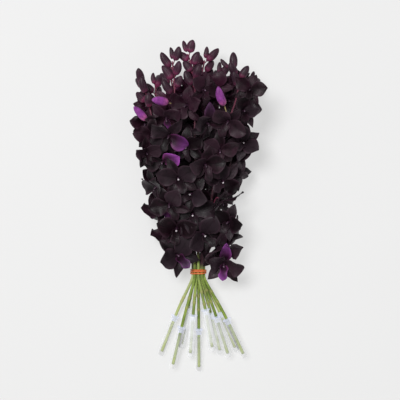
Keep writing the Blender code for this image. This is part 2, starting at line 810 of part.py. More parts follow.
def spray_shell(spray, growths):
    """One spray's surface: its stem, with a node where each bloom or bud leaves it."""
    shell = Shell()
    last = shell.loop(spray.ring(0))
    shell.lid(last[::-1])
    done = spray.leaves_cap
    for joint in (spray.leaves_cap, spray.tie_start, spray.tie_end):
        last = add_stem(shell, spray, last, done, joint)
        new = shell.loop(spray.ring(joint))
        shell.join(last, new)
        last = new
        done = joint
    for growth in sorted(growths, key=lambda growth: growth.length):
        length = growth.length
        last = add_stem(shell, spray, last, done, length - NODE_LENGTH / 2)
        below = shell.loop(spray.ring(length - NODE_LENGTH / 2, NODE_SWELL))
        shell.join(last, below)
        above = shell.loop(spray.ring(length + NODE_LENGTH / 2, NODE_SWELL))
        centre = spray.path.at(length)
        corners = np.array([shell.points[i] for i in below]) - centre
        facing = [np.dot(corners[i] + corners[(i + 1) % STEM_SIDES], growth.leave) for i in range(STEM_SIDES)]
        side = int(np.argmax(facing))
        for i in range(STEM_SIDES):
            if i != side:
                shell.band(below, above, i)
        after = (side + 1) % STEM_SIDES
        growth.grow(shell, [below[side], below[after], above[after], above[side]], spray.radius(length))
        last = above
        done = length + NODE_LENGTH / 2
    *rings, point = tip_rings(spray)
    for points in [spray.ring(spray.path.length), *rings]:
        new = shell.loop(points)
        shell.join(last, new)
        last = new
    shell.fan(last, point[0])
    return shell


def turned_shell(profile, closed):
    """A profile of (radius, height) turned about +z: up its outside, then down its inside."""
    start = turned(np.array([1.0, 0.0, 0.0]), UP, math.pi / TUBE_SIDES)
    shell = Shell()
    loops = []
    for radius, height in profile:
        centre = UP * height
        loops.append([centre] if radius == 0 else ring(centre, UP, radius, TUBE_SIDES, start))
    rings = [shell.loop(points) for points in loops if len(points) > 1]
    for old, new in zip(rings, rings[1:]):
        shell.join(old, new)
    if closed:
        shell.join(rings[-1], rings[0])
    else:
        shell.fan(rings[0][::-1], loops[0][0])
        shell.fan(rings[-1], loops[-1][0])
    return shell


def tube_shell():
    inside = TUBE_RADIUS - TUBE_WALL
    profile = [
        (0, 0),
        TUBE_NOSE,
        (TUBE_RADIUS, TUBE_SHOULDER),
        (TUBE_RADIUS, TUBE_LENGTH),
        (inside, TUBE_LENGTH),
        (inside, TUBE_SHOULDER - TUBE_WALL / 2),
        (0, 2 * TUBE_WALL),
    ]
    return turned_shell(profile, False)


def stem_hole():
    """The radius of a plain hole that a stem stands in."""
    return (CUT_RADIUS + GAP) / math.cos(math.pi / TUBE_SIDES)


def cap_shell():
    hole = stem_hole()
    plug = TUBE_RADIUS - TUBE_WALL - GAP
    flange = CAP_FLANGE_RADIUS
    low = TUBE_LENGTH + GAP - CAP_PLUG
    seat = TUBE_LENGTH + GAP
    top = seat + CAP_FLANGE
    profile = [(hole, low), (plug, low), (plug, seat), (flange, seat), (flange, top), (hole, top)]
    return turned_shell(profile, True)


def water_shell():
    hole = stem_hole()
    outside = TUBE_RADIUS - TUBE_WALL - 1.2 * GAP
    bottom = 2 * TUBE_WALL + 1.5 * GAP
    top = TUBE_LENGTH - CAP_PLUG
    pit = CUT_END_DEPTH - GAP
    profile = [(0, bottom), (outside, TUBE_SHOULDER), (outside, top), (hole, top), (hole, pit), (0, pit)]
    return turned_shell(profile, False)


def band_shell():
    """The rubber band's turns as one ribbed sleeve, drawn tight round the tied stems."""
    centres = [TIE + np.array([p.slot[0] * STEM_PITCH, 0, p.slot[1] * ROW_RISE]) for p in PLANS]
    inner = TIED_RADIUS + GAP / math.cos(math.pi / BAND_STATIONS)
    half = BAND_WIDTH / 2
    rib = BAND_WIDTH / BAND_TURNS / 2
    section = [(0, -half), (0, half)]
    for i in range(2 * BAND_TURNS - 1):
        depth = BAND_THICKNESS - (BAND_GROOVE if i % 2 else 0)
        section.append((depth, half - rib * (i + 1)))
    shell = Shell()
    loops = []
    for i in range(BAND_STATIONS):
        angle = 2 * math.pi * i / BAND_STATIONS
        way = np.array([math.cos(angle), 0, math.sin(angle)])
        edge = max(centres, key=lambda c: np.dot(c, way)) + way * inner
        loops.append(shell.loop([edge + way * out + AHEAD * y for out, y in section]))
    for old, new in zip(loops, loops[1:] + loops[:1]):
        shell.join(old, new)
    return shell


def make_material(name, colour, roughness, alpha=1.0):
    material = bpy.data.materials.new(name)
    material.use_nodes = True
    shader = material.node_tree.nodes["Principled BSDF"]
    shader.inputs["Base Color"].default_value = (*colour, 1.0)
    shader.inputs["Roughness"].default_value = roughness
    shader.inputs["Alpha"].default_value = alpha
    return material


def make_mesh(name, shell, material, origin=MIDDLE):
    """A mesh in metres, with its faces turned outwards."""
    mesh = bpy.data.meshes.new(name)
    mesh.from_pydata([tuple((p - origin) * MM) for p in shell.points], [], shell.faces)
    bm = bmesh.new()
    bm.from_mesh(mesh)
    bmesh.ops.recalc_face_normals(bm, faces=bm.faces)
    bm.to_mesh(mesh)
    bm.free()
    mesh.shade_smooth()
    mesh.set_sharp_from_angle(angle=math.radians(40))
    mesh.materials.append(material)
    return mesh


def add_object(name, mesh):
    thing = bpy.data.objects.new(name, mesh)
    bpy.context.scene.collection.objects.link(thing)
    return thing


def add_tubes(sprays):
    """A tube, its cap and its water for each cut end."""
    looks = {
        "water_tube": (tube_shell(), (0.80, 0.84, 0.84), 0.15, 0.35),
        "tube_cap": (cap_shell(), (0.78, 0.84, 0.88), 0.35, 0.8),
        "tube_water": (water_shell(), (0.80, 0.88, 0.86), 0.05, 0.25),
    }
    for name, (shell, *look) in looks.items():
        mesh = make_mesh(name, shell, make_material(name, *look), np.zeros(3))
        for number, spray in enumerate(sprays, 1):
            turn = Vector(spray.tube_way).to_track_quat("Z", "Y").to_matrix().to_4x4()
            place = Matrix.Translation(Vector((spray.tube_end - MIDDLE) * MM)) @ turn
            add_object(f"{name}_{number:02d}", mesh).matrix_world = place


def main():
    for thing in list(bpy.data.objects):
        bpy.data.objects.remove(thing)
    sprays = [Spray(plan) for plan in PLANS]
    band = band_shell()
    growths = arrange(sprays, band)
    flower = make_material("spray", (0.018, 0.009, 0.015), 0.5)
    for number, (spray, grown) in enumerate(zip(sprays, growths), 1):
        name = f"spray_{number:02d}"
        add_object(name, make_mesh(name, spray_shell(spray, grown), flower))
    add_tubes(sprays)
    rubber = make_material("rubber", (0.63, 0.13, 0.01), 0.45)
    add_object("rubber_band", make_mesh("rubber_band", band, rubber))


main()
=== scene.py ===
"""The looks of a bunch of ten cut dendrobium orchid sprays, dyed near black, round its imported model.

Lengths are in millimetres, in the model's own frame, until the meshes are made in metres.
"""

import math
import random
from collections import namedtuple
from types import SimpleNamespace

import bmesh
import bpy
import numpy as np
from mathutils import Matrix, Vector


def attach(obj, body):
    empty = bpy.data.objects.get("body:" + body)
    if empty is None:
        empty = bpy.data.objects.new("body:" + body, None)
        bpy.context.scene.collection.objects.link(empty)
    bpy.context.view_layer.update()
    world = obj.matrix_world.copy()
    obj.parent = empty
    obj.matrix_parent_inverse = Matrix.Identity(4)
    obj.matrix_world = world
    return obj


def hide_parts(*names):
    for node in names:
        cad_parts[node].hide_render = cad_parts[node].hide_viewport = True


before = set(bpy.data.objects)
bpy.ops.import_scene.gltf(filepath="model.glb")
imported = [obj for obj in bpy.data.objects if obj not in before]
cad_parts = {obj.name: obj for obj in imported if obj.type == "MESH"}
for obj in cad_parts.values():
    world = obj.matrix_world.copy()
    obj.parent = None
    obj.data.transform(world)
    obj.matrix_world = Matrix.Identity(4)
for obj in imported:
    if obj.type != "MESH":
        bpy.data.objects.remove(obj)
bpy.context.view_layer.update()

MM = 0.001
UP = np.array([0.0, 0.0, 1.0])
AHEAD = np.array([0.0, 1.0, 0.0])
STEEP = 0.9
SEED = 7

# The route of each stem, as in the model: the middle of the bunch's box, the tie and the tubes. Solid
# tubes are the model's own, with flat sides.
MIDDLE = np.array([0.83, -7.6, 0.0])
TIE = np.array([2.0, -99.6, 31.0])
STEM_PITCH = 5.6
ROW_RISE = 4.4
TIED_LENGTH = 14.0
TIE_BEND = 0.3
CUT_RADIUS = 2.3
TIED_RADIUS = 2.15
TIP_RADIUS = 1.0
SOLID_TUBE_SIDES = 8
SOLID_TUBE_RADIUS = 5.75
TUBE_LENGTH = 66.0
TUBE_SHOULDER = 5.5
TUBE_SLOPE = math.radians(7.9)
UPPER_TUBE_LIFT = 12.2
CAP_PLUG = 7.0
CUT_END_DEPTH = 8.0
BELLY_Y = 80.0
THROAT_Y = -22.0
THROAT_SHARE = 0.5

# The sprays, from left to right. Slot is a stem's place at the tie, in stem pitches across and in rows.
# Tube is its tube's end (x, y). Belly is its middle (x, z) at BELLY_Y. Tip is where it ends, and turn is
# how far the end bends to the left, in degrees.
Plan = namedtuple("Plan", "slot upper tube belly tip turn")
PLANS = (
    Plan((-1.5, 0), False, (-57.1, -231.3), (-46.0, 35.0), (-64.0, 184.0, 36.0), 0),
    Plan((-1.0, 1), True, (-38.6, -249.8), (-58.0, 64.0), (-84.0, 186.0, 58.0), 15),
    Plan((-1.0, -1), False, (-24.8, -220.5), (-22.0, 30.0), (-40.0, 196.0, 30.0), 0),
    Plan((-0.5, 0), True, (-10.9, -232.9), (-34.0, 76.0), (-37.0, 216.0, 80.0), 10),
    Plan((0.0, -1), False, (3.0, -256.0), (4.0, 28.0), (12.0, 222.0, 46.0), -10),
    Plan((0.0, 1), True, (24.5, -223.6), (-3.0, 80.0), (-15.0, 227.0, 76.0), 20),
    Plan((0.5, 0), False, (36.9, -229.8), (28.0, 30.0), (34.0, 200.0, 36.0), 0),
    Plan((1.0, 1), True, (49.2, -232.9), (32.0, 76.0), (47.0, 203.0, 82.0), 70),
    Plan((1.0, -1), False, (61.5, -225.2), (46.0, 35.0), (66.0, 176.0, 36.0), -10),
    Plan((1.5, 0), True, (73.8, -232.9), (54.0, 64.0), (80.0, 184.0, 58.0), -10),
)

# How blooms and buds are found in the model's meshes: a corner with three edges is the point of a bloom's
# column, and one with four even edges is a bud's point. The rest is so many steps away along the edges. The
# column's point is (y, z) in the bloom's own frame. A petal's last corners are at a share of its length,
# and nothing else is so far out with so little aside. The ring of the stalk next to the stem is at a share
# of the stalk's way. Stalk foot is how much of the stem's radius the stalk starts away from its middle, and
# hold is how far the stalk keeps its way at its two ends.
WELD = 0.002
COLUMN_EDGES = 3
BUD_EDGES = 4
EVEN = 0.01
COLUMN_POINT = (-1.0, 6.5)
PETAL_END = 0.97
PETAL_END_OUT = 8.0
PETAL_END_ASIDE = 2.6
HEAD_STEPS = 5
RING_STEP = 6
HOLE_STEP = 7
RING_SHARE = 0.2
WAY_ROUNDS = 4
STALK_FOOT = 0.6
STALK_HOLD = (0.4, 0.35)
BUD_BELLY_STEP = 2
BUD_FOOT_STEP = 3
BUD_HOLE_STEP = 5

# A bloom faces +z with its upper sepal towards +y. A blade is its azimuth in degrees, its length, its
# width, where it is widest, how its end narrows, its lift, its curl and its share of the bloom's closing.
# Azimuths, lengths, widths, lifts and curls are as in the model. Hollow is how far its edges turn up at its
# root and at its end, wave is how much its edges wave, and back is how far its end turns back. The lip's
# half width and hollow are given at places along it.
Blade = namedtuple("Blade", "azimuth length width widest ending lift curl closing hollow wave back")
SEPALS = (
    Blade(312.0, 26.0, 15.0, 0.42, 1.7, 0.10, -0.45, 0.6, (0.60, -0.25), 0.5, -0.35),
    Blade(90.0, 27.0, 15.0, 0.45, 1.8, 0.12, -0.40, 0.3, (0.55, -0.30), 0.5, -0.30),
    Blade(228.0, 26.0, 15.0, 0.42, 1.7, 0.10, -0.45, 0.6, (0.60, -0.25), 0.5, -0.35),
)
PETALS = (
    Blade(20.0, 28.0, 25.0, 0.56, 1.75, 0.22, -0.35, 1.0, (0.60, -0.15), 1.5, -0.35),
    Blade(160.0, 28.0, 25.0, 0.56, 1.75, 0.22, -0.35, 1.0, (0.60, -0.15), 1.5, -0.35),
)
LIP = Blade(270.0, 21.0, 16.0, 0.52, 1.6, 0.85, -0.70, 0.3, (0.0, 0.0), 0.5, -0.25)
LIP_AT = (0.0, 0.12, 0.22, 0.32, 0.42, 0.50, 0.58, 0.68, 0.78, 0.88, 0.95, 1.0)
LIP_HALF = (2.4, 5.2, 7.2, 7.4, 5.6, 4.6, 4.9, 6.3, 6.2, 4.3, 2.3, 0.0)
LIP_HOLLOW = (1.1, 1.3, 1.35, 1.3, 1.1, 0.8, 0.45, 0.1, -0.15, -0.3, -0.35, -0.35)
ROOT_SHARE = 0.3

# Where blades leave the bloom: sepals behind and petals in front, as a distance and a height
BACK_ROOT = (2.0, -0.9)
FRONT_ROOT = (1.7, 0.9)
HUB_BACK = 4.0

# A blade thins by these shares towards its edges and its end, turns back from a share of its length on,
# and is larger than the model's by its growth. Crease is how far it folds along its middle, at places along
# it. Its waves are counted along it, and fade towards its end.
BLADE_THICKNESS = 0.55
EDGE_THINNING = 0.55
END_THINNING = 0.4
BLADE_TURN_FROM = 0.65
BLADE_GROWTH = 1.12
CREASE = (0.0, 0.5, 1.0), (0.0, 0.24, 0.12)
LEAST_HOLLOW = 0.02
WAVE_COUNTS = (1.3, 2.1)
WAVE_TOP = 0.6
WAVE_END = 0.9

# Petals are pressed flat below this height. Blooms near a place above the band are larger than in the
# model, which closes the slits between them: by how much at two distances from it.
PRESSED_BELOW = 2.0
ABOVE_BAND = (4.0, -50.0)
SPREAD_REACH = (36.0, 54.0)
SPREAD_BY = (1.2, 1.0)

# How far a blade strays from its rule: its azimuth in degrees, its length as a share, its curl, its lift,
# its twist, how far it bows aside, its hollow and its waves as a share
BLADE_STRAY = (9.0, 0.08, 0.32, 0.18, 0.62, 0.11, 0.40, 0.8)
ALONG = np.array([0.0, 0.05, 0.12, 0.21, 0.31, 0.42, 0.53, 0.64, 0.75, 0.85, 0.93, 0.98])
ACROSS = np.array([-1.0, -0.94, -0.74, -0.48, -0.22, 0.0, 0.22, 0.48, 0.74, 0.94, 1.0])

# The middle of a bloom, in its own frame: its hub and column, the cap on the column, and its chin, each
# as points (y, z) with a radius
COLUMN = (
    (0.0, -4.4, 0.0),
    (0.0, -4.0, 1.1),
    (0.0, -2.6, 1.6),
    (0.1, -1.2, 2.3),
    (0.3, 0.2, 2.5),
    (0.5, 1.6, 2.1),
    (0.6, 3.2, 1.75),
    (0.3, 4.8, 1.7),
    (-0.2, 6.0, 1.35),
    (-0.5, 6.7, 0.0),
)
ANTHER = (
    (-0.2, 5.5, 0.0),
    (-0.55, 5.7, 0.8),
    (-1.0, 6.2, 1.25),
    (-1.3, 6.9, 1.3),
    (-1.45, 7.5, 0.9),
    (-1.5, 7.9, 0.0),
)
CHIN = (
    (-0.4, -0.2, 0.0),
    (-0.6, -0.7, 2.2),
    (-1.8, -2.0, 2.1),
    (-2.9, -3.4, 1.7),
    (-3.6, -4.5, 1.1),
    (-4.0, -5.1, 0.0),
)
HUB_SIDES = 12
ANTHER_SIDES = 10

# Where the blooms stand that have a white cap on their column (x, y)
WHITE_ANTHERS = (
    (-8.3, 25.6),
    (-6.8, -4.4),
    (-30.8, -25.4),
    (8.2, -34.4),
    (-27.8, 48.1),
    (36.7, 45.1),
    (68.2, 100.6),
    (-64.8, 39.6),
)
WHITE_REACH = 4.0

# Stalks: their radius at places along them, and how pink they are at the stem and how much more at the end
STALK_AT = (0.0, 0.12, 0.3, 0.8, 1.0)
STALK_WIDE = (1.7, 1.15, 0.85, 0.95, 1.25)
STALK_STEPS = 14
STALK_SIDES = 8
STALK_PINK = (0.15, 0.5)
BUD_STALK_PINK = (0.3, 0.6)

# Buds: a bud's body is its width at places along it, from its stalk to its point. It is fuller and longer
# than in the model by these shares, and points more along the stem. Chin is where its bulge is, how long
# that is, and how far it stands out. The half-open violet buds are the ones longer than a length, and they
# rise instead. The bud at a stem's tip has a size of its own.
BUD_STALK_AT = (0.0, 0.2, 0.6, 1.0)
BUD_STALK_WIDE = (1.5, 0.8, 0.75, 1.0)
BUD_STALK_STEPS = 8
BUD_STALK_SAG = 0.6
BUD_STALK_SUNK = 1.5
BUD_SIDES = 12
BUD_FOLD = 0.15
BUD_CHIN = (0.16, 0.13, 0.42)
BUD_BOW = 0.09
BUD_AHEAD = 0.4
BUD_AT = (0.0, 0.04, 0.12, 0.22, 0.34, 0.46, 0.58, 0.70, 0.81, 0.90, 0.96, 1.0)
BUD_WIDE = (0.0, 0.34, 0.66, 0.88, 0.98, 1.0, 0.96, 0.86, 0.70, 0.50, 0.29, 0.0)
BUD_FULLNESS = 1.12
BUD_SWELLING = 0.25
BUD_STRETCH = 1.2
PALE_BUD_LENGTH = 24.0
PALE_RISE = 0.3
TIP_BUD_RADIUS = 3.4
TIP_BUD_LENGTH = 15.0

# Petals that took less of the dye, and are violet: where each one is, from above, and how much it shows
VIOLET_SPOTS = (
    (-34.8, 82.6, 0.9),
    (-20.8, 93.6, 0.4),
    (43.2, -71.4, 0.45),
    (35.2, -95.9, 0.6),
    (-41.3, -5.9, 0.4),
    (-44.8, 125.6, 0.45),
    (5.2, 145.6, 0.12),
    (-35.8, 188.6, 0.5),
    (-24.8, -76.4, 0.25),
)

# A petal counts as this share of its height nearer to a spot, so that the upper ones are chosen
VIOLET_DEPTH = 0.25

# Youth, which makes flowers redder: the heights y between which it grows, how much later it comes to the
# right, and the least that a bud has
YOUNG_HEIGHTS = (125.0, 225.0)
OLDER_TO_RIGHT = 0.7
BUD_YOUTH = 0.2

# Stems: the heights y between which their green fades to a dark purple, which is partly their own colour
# among the flowers and partly painted shade under the flowers that overhang them, for two of them and for
# the rest, their rings and how far those would reach over the tip, their nodes, those on the bare part by
# their distance below the tie, and how pink they are at two heights y
GREEN_FADES = {2: (-84.0, -66.0), 6: (-80.0, -62.0)}
GREEN_ENDS = (-92.0, -80.0)
STEM_STEP = 4.0
STEM_OVER = 0.5
STEM_SIDES = 12
CUT_FACE = 0.1
NODE_SWELL = 0.22
NODE_REACH = 2.2
NODE_RINGS = np.array([-2.6, -0.9, 0.9, 2.6])
LEAST_STEP = 0.4
BARE_NODES = (46.0, 30.0)
BARE_NODE_STRAY = 9.0
PINK_HEIGHTS = (90.0, 220.0)
PINK = (0.08, 0.7)

# Tubes, caps and water, and the room between them. Fog is how much each tube is misted inside.
LATHE_SIDES = 48
NOSE_STEPS = 8
WATER_NOSE_STEPS = 6
TUBE_FOG = (0.05, 0.05, 0.36, 0.34, 0.04, 0.30, 0.20, 0.16, 0.12, 0.06)
TUBE_RADIUS = 5.5
TUBE_WALL = 0.8
ROOM = 0.1
CAP_SEAT = TUBE_LENGTH + 0.3

# The band's turns: how far each lies along the stems from the tie's middle, how far it tilts, and where
BAND_STRANDS = ((-2.35, 0.5, 0.4), (0.05, -0.6, 2.2), (2.3, 0.45, 4.0))
BAND_THICK = 0.8
BAND_WIDE = 1.1
BAND_STATIONS = 96
BAND_SIDES = 10
BAND_REACH = TIED_RADIUS + 1.15

# Noises in the materials: their usual range, and how rough they are
NOISE_RANGE = (0.3, 0.7)
NOISE_ROUGHNESS = 0.55

# In metres: the camera, the lights (place, size across, and power in watts), and the floor
CAMERA_PLACE = (0.00367, 0.0166, 1.6)
CAMERA_FIELD = math.radians(21.9)
LIGHTS = (
    ("key", (-0.7, 0.7, 3.0), 1.1, 92.0),
    ("fill", (0.9, -0.5, 1.8), 1.4, 5.0),
)
WORLD_STRENGTH = 0.26
FLOOR_HALF = 4.0
FLOOR_Z = -0.0004


def unit(vector):
    return vector / np.linalg.norm(vector)


def turned(vector, axis, angle):
    """A vector turned about a unit axis by an angle in radians."""
    across = np.cross(axis, vector)
    onward = axis * np.dot(axis, vector)
    return vector * math.cos(angle) + across * math.sin(angle) + onward * (1 - math.cos(angle))


def square_to(vector, axis):
    """The unit vector nearest to a vector that is square to a unit axis."""
    return unit(vector - axis * np.dot(vector, axis))


class Path:
    """A smooth curve through points with given directions, measured along its length."""

    STEPS = 24
    FINE_STEP = 0.1

    def __init__(self, points, directions):
        found = []
        for a, b, da, db in zip(points, points[1:], directions, directions[1:]):
            reach = np.linalg.norm(b - a)
            for t in np.linspace(0, 1, self.STEPS, endpoint=False):
                found.append(
                    a * (2 * t**3 - 3 * t**2 + 1)
                    + b * (3 * t**2 - 2 * t**3)
                    + da * reach * (t**3 - 2 * t**2 + t)
                    + db * reach * (t**3 - t**2)
                )
        self.points = np.array([*found, points[-1]])
        steps = np.linalg.norm(np.diff(self.points, axis=0), axis=1)
        self.lengths = np.concatenate([[0], np.cumsum(steps)])
        self.length = float(self.lengths[-1])

    def at(self, length):
        return np.array([np.interp(length, self.lengths, self.points[:, i]) for i in range(3)])

    def nearest(self, point):
        """How far along the path the place nearest to a point is."""
        lengths = np.arange(0, self.length, self.FINE_STEP)
        return float(lengths[np.argmin(np.linalg.norm(self.at(lengths).T - point, axis=1))])

    def direction(self, length):
        low = min(max(length - 2, 0), self.length - 4)
        return unit(self.at(low + 4) - self.at(low))


class Spray:
    """Where one stem runs, from its cut end in the tube to the tip of its flowers."""

    def __init__(self, plan):
        across, row = plan.slot
        slot = TIE + np.array([across * STEM_PITCH, 0, row * ROW_RISE])
        flat = SOLID_TUBE_RADIUS * math.cos(math.pi / SOLID_TUBE_SIDES)
        low = flat * math.cos(TUBE_SLOPE) - TUBE_SHOULDER * math.sin(TUBE_SLOPE)
        tube_end = np.array([*plan.tube, low + (UPPER_TUBE_LIFT if plan.upper else 0)])
        level = unit(np.array([slot[0] - plan.tube[0], slot[1] - plan.tube[1], 0.0]))
        self.tube_way = level * math.cos(TUBE_SLOPE) + UP * math.sin(TUBE_SLOPE)
        half_tie = AHEAD * TIED_LENGTH / 2
        throat_x = TIE[0] + (plan.belly[0] - TIE[0]) * THROAT_SHARE
        throat = np.array([throat_x, THROAT_Y, (slot[2] + plan.belly[1]) / 2])
        belly = np.array([plan.belly[0], BELLY_Y, plan.belly[1]])
        tip = np.array(plan.tip)
        points = [
            tube_end + self.tube_way * CUT_END_DEPTH,
            tube_end + self.tube_way * (TUBE_LENGTH + CAP_PLUG),
            slot - half_tie,
            slot + half_tie,
            throat,
            belly,
            tip,
        ]
        directions = [
            self.tube_way,
            self.tube_way,
            AHEAD * TIE_BEND,
            AHEAD,
            unit(belly - slot),
            unit(tip - throat),
            turned(unit(tip - belly), UP, math.radians(plan.turn)),
        ]
        self.path = Path([point - MIDDLE for point in points], directions)
        self.slot = slot - MIDDLE
        self.tube_end = tube_end - MIDDLE
        self.tie_start = float(self.path.lengths[2 * Path.STEPS])

    def radius(self, length):
        along = [0, self.tie_start, self.path.length]
        return np.interp(length, along, [CUT_RADIUS, TIED_RADIUS, TIP_RADIUS])


def mesh_graph(node):
    """A node's corners in millimetres, and for each one the corners that an edge joins to it."""
    bm = bmesh.new()
    bm.from_mesh(node.data)
    bmesh.ops.remove_doubles(bm, verts=bm.verts, dist=WELD * MM)
    bm.verts.index_update()
    points = np.array([vert.co for vert in bm.verts]) / MM
    near = [{edge.other_vert(vert).index for edge in vert.link_edges} for vert in bm.verts]
    bm.free()
    return points, near


def steps_from(near, start, count):
    """The corners that are 0, 1, 2 and more edges away from a corner."""
    steps = [{start}]
    seen = {start}
    for _ in range(count):
        steps.append(set().union(*(near[i] for i in steps[-1])) - seen)
        seen |= steps[-1]
    return [sorted(step) for step in steps]


FoundBloom = namedtuple("FoundBloom", "length centre face up leave scale cup")
FoundBud = namedtuple("FoundBud", "length way reach size radius")


def find_bloom(points, near, tip, spray):
    """A bloom from the point of its column, which edges join to the three corners of its front hub."""
    steps = steps_from(near, tip, HOLE_STEP)
    *lower, top = sorted(steps[1], key=lambda i: np.linalg.norm(points[i] - points[tip]))
    low = points[lower].mean(axis=0)
    up = unit(points[top] - low)
    face = square_to(points[tip] - low, up)
    side, root_height = FRONT_ROOT
    hub_height = side + side / math.sin(math.radians(PETALS[0].azimuth))
    scale = float(np.linalg.norm(points[top] - low)) / hub_height
    centre = points[tip] - scale * (up * COLUMN_POINT[0] + face * COLUMN_POINT[1])
    head = [i for step in steps[: HEAD_STEPS + 1] for i in step]
    own = (points[head] - centre) @ np.array([np.cross(up, face), up, face]).T / scale
    slopes = []
    for petal in PETALS:
        angle = math.radians(petal.azimuth)
        out = own[:, :2] @ [math.cos(angle), math.sin(angle)] - side
        aside = own[:, :2] @ [-math.sin(angle), math.cos(angle)]
        end = (np.abs(aside) < PETAL_END_ASIDE) & (out > PETAL_END_OUT)
        chord = math.atan2(own[end, 2].mean() - root_height, out[end].mean())
        slopes.append(chord - petal.lift - petal.curl * PETAL_END / 2)
    length = spray.path.nearest(points[steps[HOLE_STEP]].mean(axis=0))
    ring = points[steps[RING_STEP]].mean(axis=0)
    leave = stalk_way(spray, length, ring, centre - face * HUB_BACK * scale, face)
    return FoundBloom(length, centre, face, up, leave, scale, float(np.mean(slopes)))


def stalk_way(spray, length, ring, back, face):
    """The way that a stalk leaves its stem, from a ring of the stalk and the bloom's back."""
    foot = spray.path.at(length)
    way = unit(ring - foot)
    t, s = RING_SHARE, 1 - RING_SHARE
    for _ in range(WAY_ROUNDS):
        a = foot + way * spray.radius(length) * STALK_FOOT
        c = back - face * np.linalg.norm(back - a) * STALK_HOLD[1]
        b = (ring - a * s**3 - c * 3 * t**2 * s - back * t**3) / (3 * t * s**2)
        way = unit(b - a)
    return way


def find_bud(points, near, tip, spray):
    """A side bud from its point."""
    steps = steps_from(near, tip, BUD_HOLE_STEP)
    belly = points[steps[BUD_BELLY_STEP]]
    middle = belly.mean(axis=0)
    foot = points[steps[BUD_FOOT_STEP]].mean(axis=0)
    length = spray.path.nearest(points[steps[BUD_HOLE_STEP]].mean(axis=0))
    reach = np.linalg.norm(foot - spray.path.at(length))
    size = np.linalg.norm(points[tip] - foot)
    return FoundBud(length, unit(points[tip] - middle), reach, size, np.linalg.norm(belly[0] - middle))


def find_flowers(node, spray):
    """The blooms and the buds of one of the model's sprays, from its tie to its tip."""
    points, near = mesh_graph(node)
    blooms = []
    buds = []
    for i, others in enumerate(near):
        away = np.linalg.norm(points[sorted(others)] - points[i], axis=1)
        if len(others) == COLUMN_EDGES:
            blooms.append(find_bloom(points, near, i, spray))
        elif len(others) == BUD_EDGES and np.ptp(away) < EVEN:
            buds.append(find_bud(points, near, i, spray))
    return sorted(blooms, key=lambda bloom: bloom.length), sorted(buds, key=lambda bud: bud.length)


class Surface:
    """The points, faces and marks of one piece. Leaf and tint are three marks for each point: where it is on
    its leaf or form, and what colours it."""

    def __init__(self):
        self.points = []
        self.leaf = []
        self.tint = []
        self.faces = []
        self.count = 0

    def add(self, points, faces, leaf=(0.0, 0.0, 0.0), tint=(0.0, 0.0, 0.0)):
        """Adds a form. Each of its marks is one number, or one for each point."""
        for face_set in faces:
            self.faces.extend((face_set + self.count).tolist())
        self.points.append(points)
        for rows, marks in ((self.leaf, leaf), (self.tint, tint)):
            rows.append(np.column_stack([np.broadcast_to(mark, len(points)) for mark in marks]))
        self.count += len(points)


def ring_faces(count, sides, loop):
    """The faces between rings of points. Unless the rings are a loop, two more points close their ends."""
    i = np.arange(count if loop else count - 1)[:, None] * sides
    j = np.arange(sides)
    k = (j + 1) % sides
    last = (i + sides) % (count * sides)
    faces = [np.stack([i + j, i + k, last + k, last + j], axis=-1).reshape(-1, 4)]
    if not loop:
        start = count * sides
        faces.append(np.stack([k, j, np.full(sides, start)], axis=-1))
        faces.append(np.stack([start - sides + j, start - sides + k, np.full(sides, start + 1)], axis=-1))
    return faces


def round_form(points, radii, sides, loop=False):
    """A closed round form along points: its points and faces, and for each point its place along and
    round it. Radii are one for each point, or one for each point and side. The first and last points are
    its ends, which close it, unless it is a loop."""
    points = np.asarray(points, float)
    radii = np.asarray(radii, float)
    if radii.ndim == 1:
        radii = np.repeat(radii[:, None], sides, axis=1)
    if loop:
        ways = np.roll(points, -1, axis=0) - np.roll(points, 1, axis=0)
    else:
        ways = np.gradient(points, axis=0)
    start = unit(ways[0])
    first = square_to(UP if abs(start[2]) < STEEP else AHEAD, start)
    turns = 2 * np.pi * np.arange(sides) / sides
    rings = []
    for point, way, radius in zip(points, ways, radii):
        way = unit(way)
        first = square_to(first, way)
        second = np.cross(way, first)
        spokes = np.outer(np.cos(turns), first) + np.outer(np.sin(turns), second)
        rings.append(point + radius[:, None] * spokes)
    steps = np.linalg.norm(np.diff(points, axis=0), axis=1)
    far = np.concatenate([[0], np.cumsum(steps)])
    if loop:
        count = len(rings)
        faces = ring_faces(count, sides, True)
        return np.concatenate(rings), faces, np.repeat(far, sides), np.tile(turns, count)
    rings = rings[1:-1]
    body = np.concatenate([*rings, points[:1], points[-1:]])
    along = np.concatenate([np.repeat(far[1:-1], sides), far[:1], far[-1:]])
    around = np.concatenate([np.tile(turns, len(rings)), [0.0, 0.0]])
    return body, ring_faces(len(rings), sides, False), along, around


def blade_half(blade, u):
    """Half of a blade's width at places u along it."""
    if blade is LIP:
        return np.interp(u, LIP_AT, LIP_HALF)
    swell = np.sin(math.pi / 2 * np.minimum(u / blade.widest, 1))
    past = np.maximum((u - blade.widest) / (1 - blade.widest), 0)
    share = ROOT_SHARE + (1 - ROOT_SHARE) * swell
    return blade.width / 2 * np.where(u < blade.widest, share, 1 - past**blade.ending)


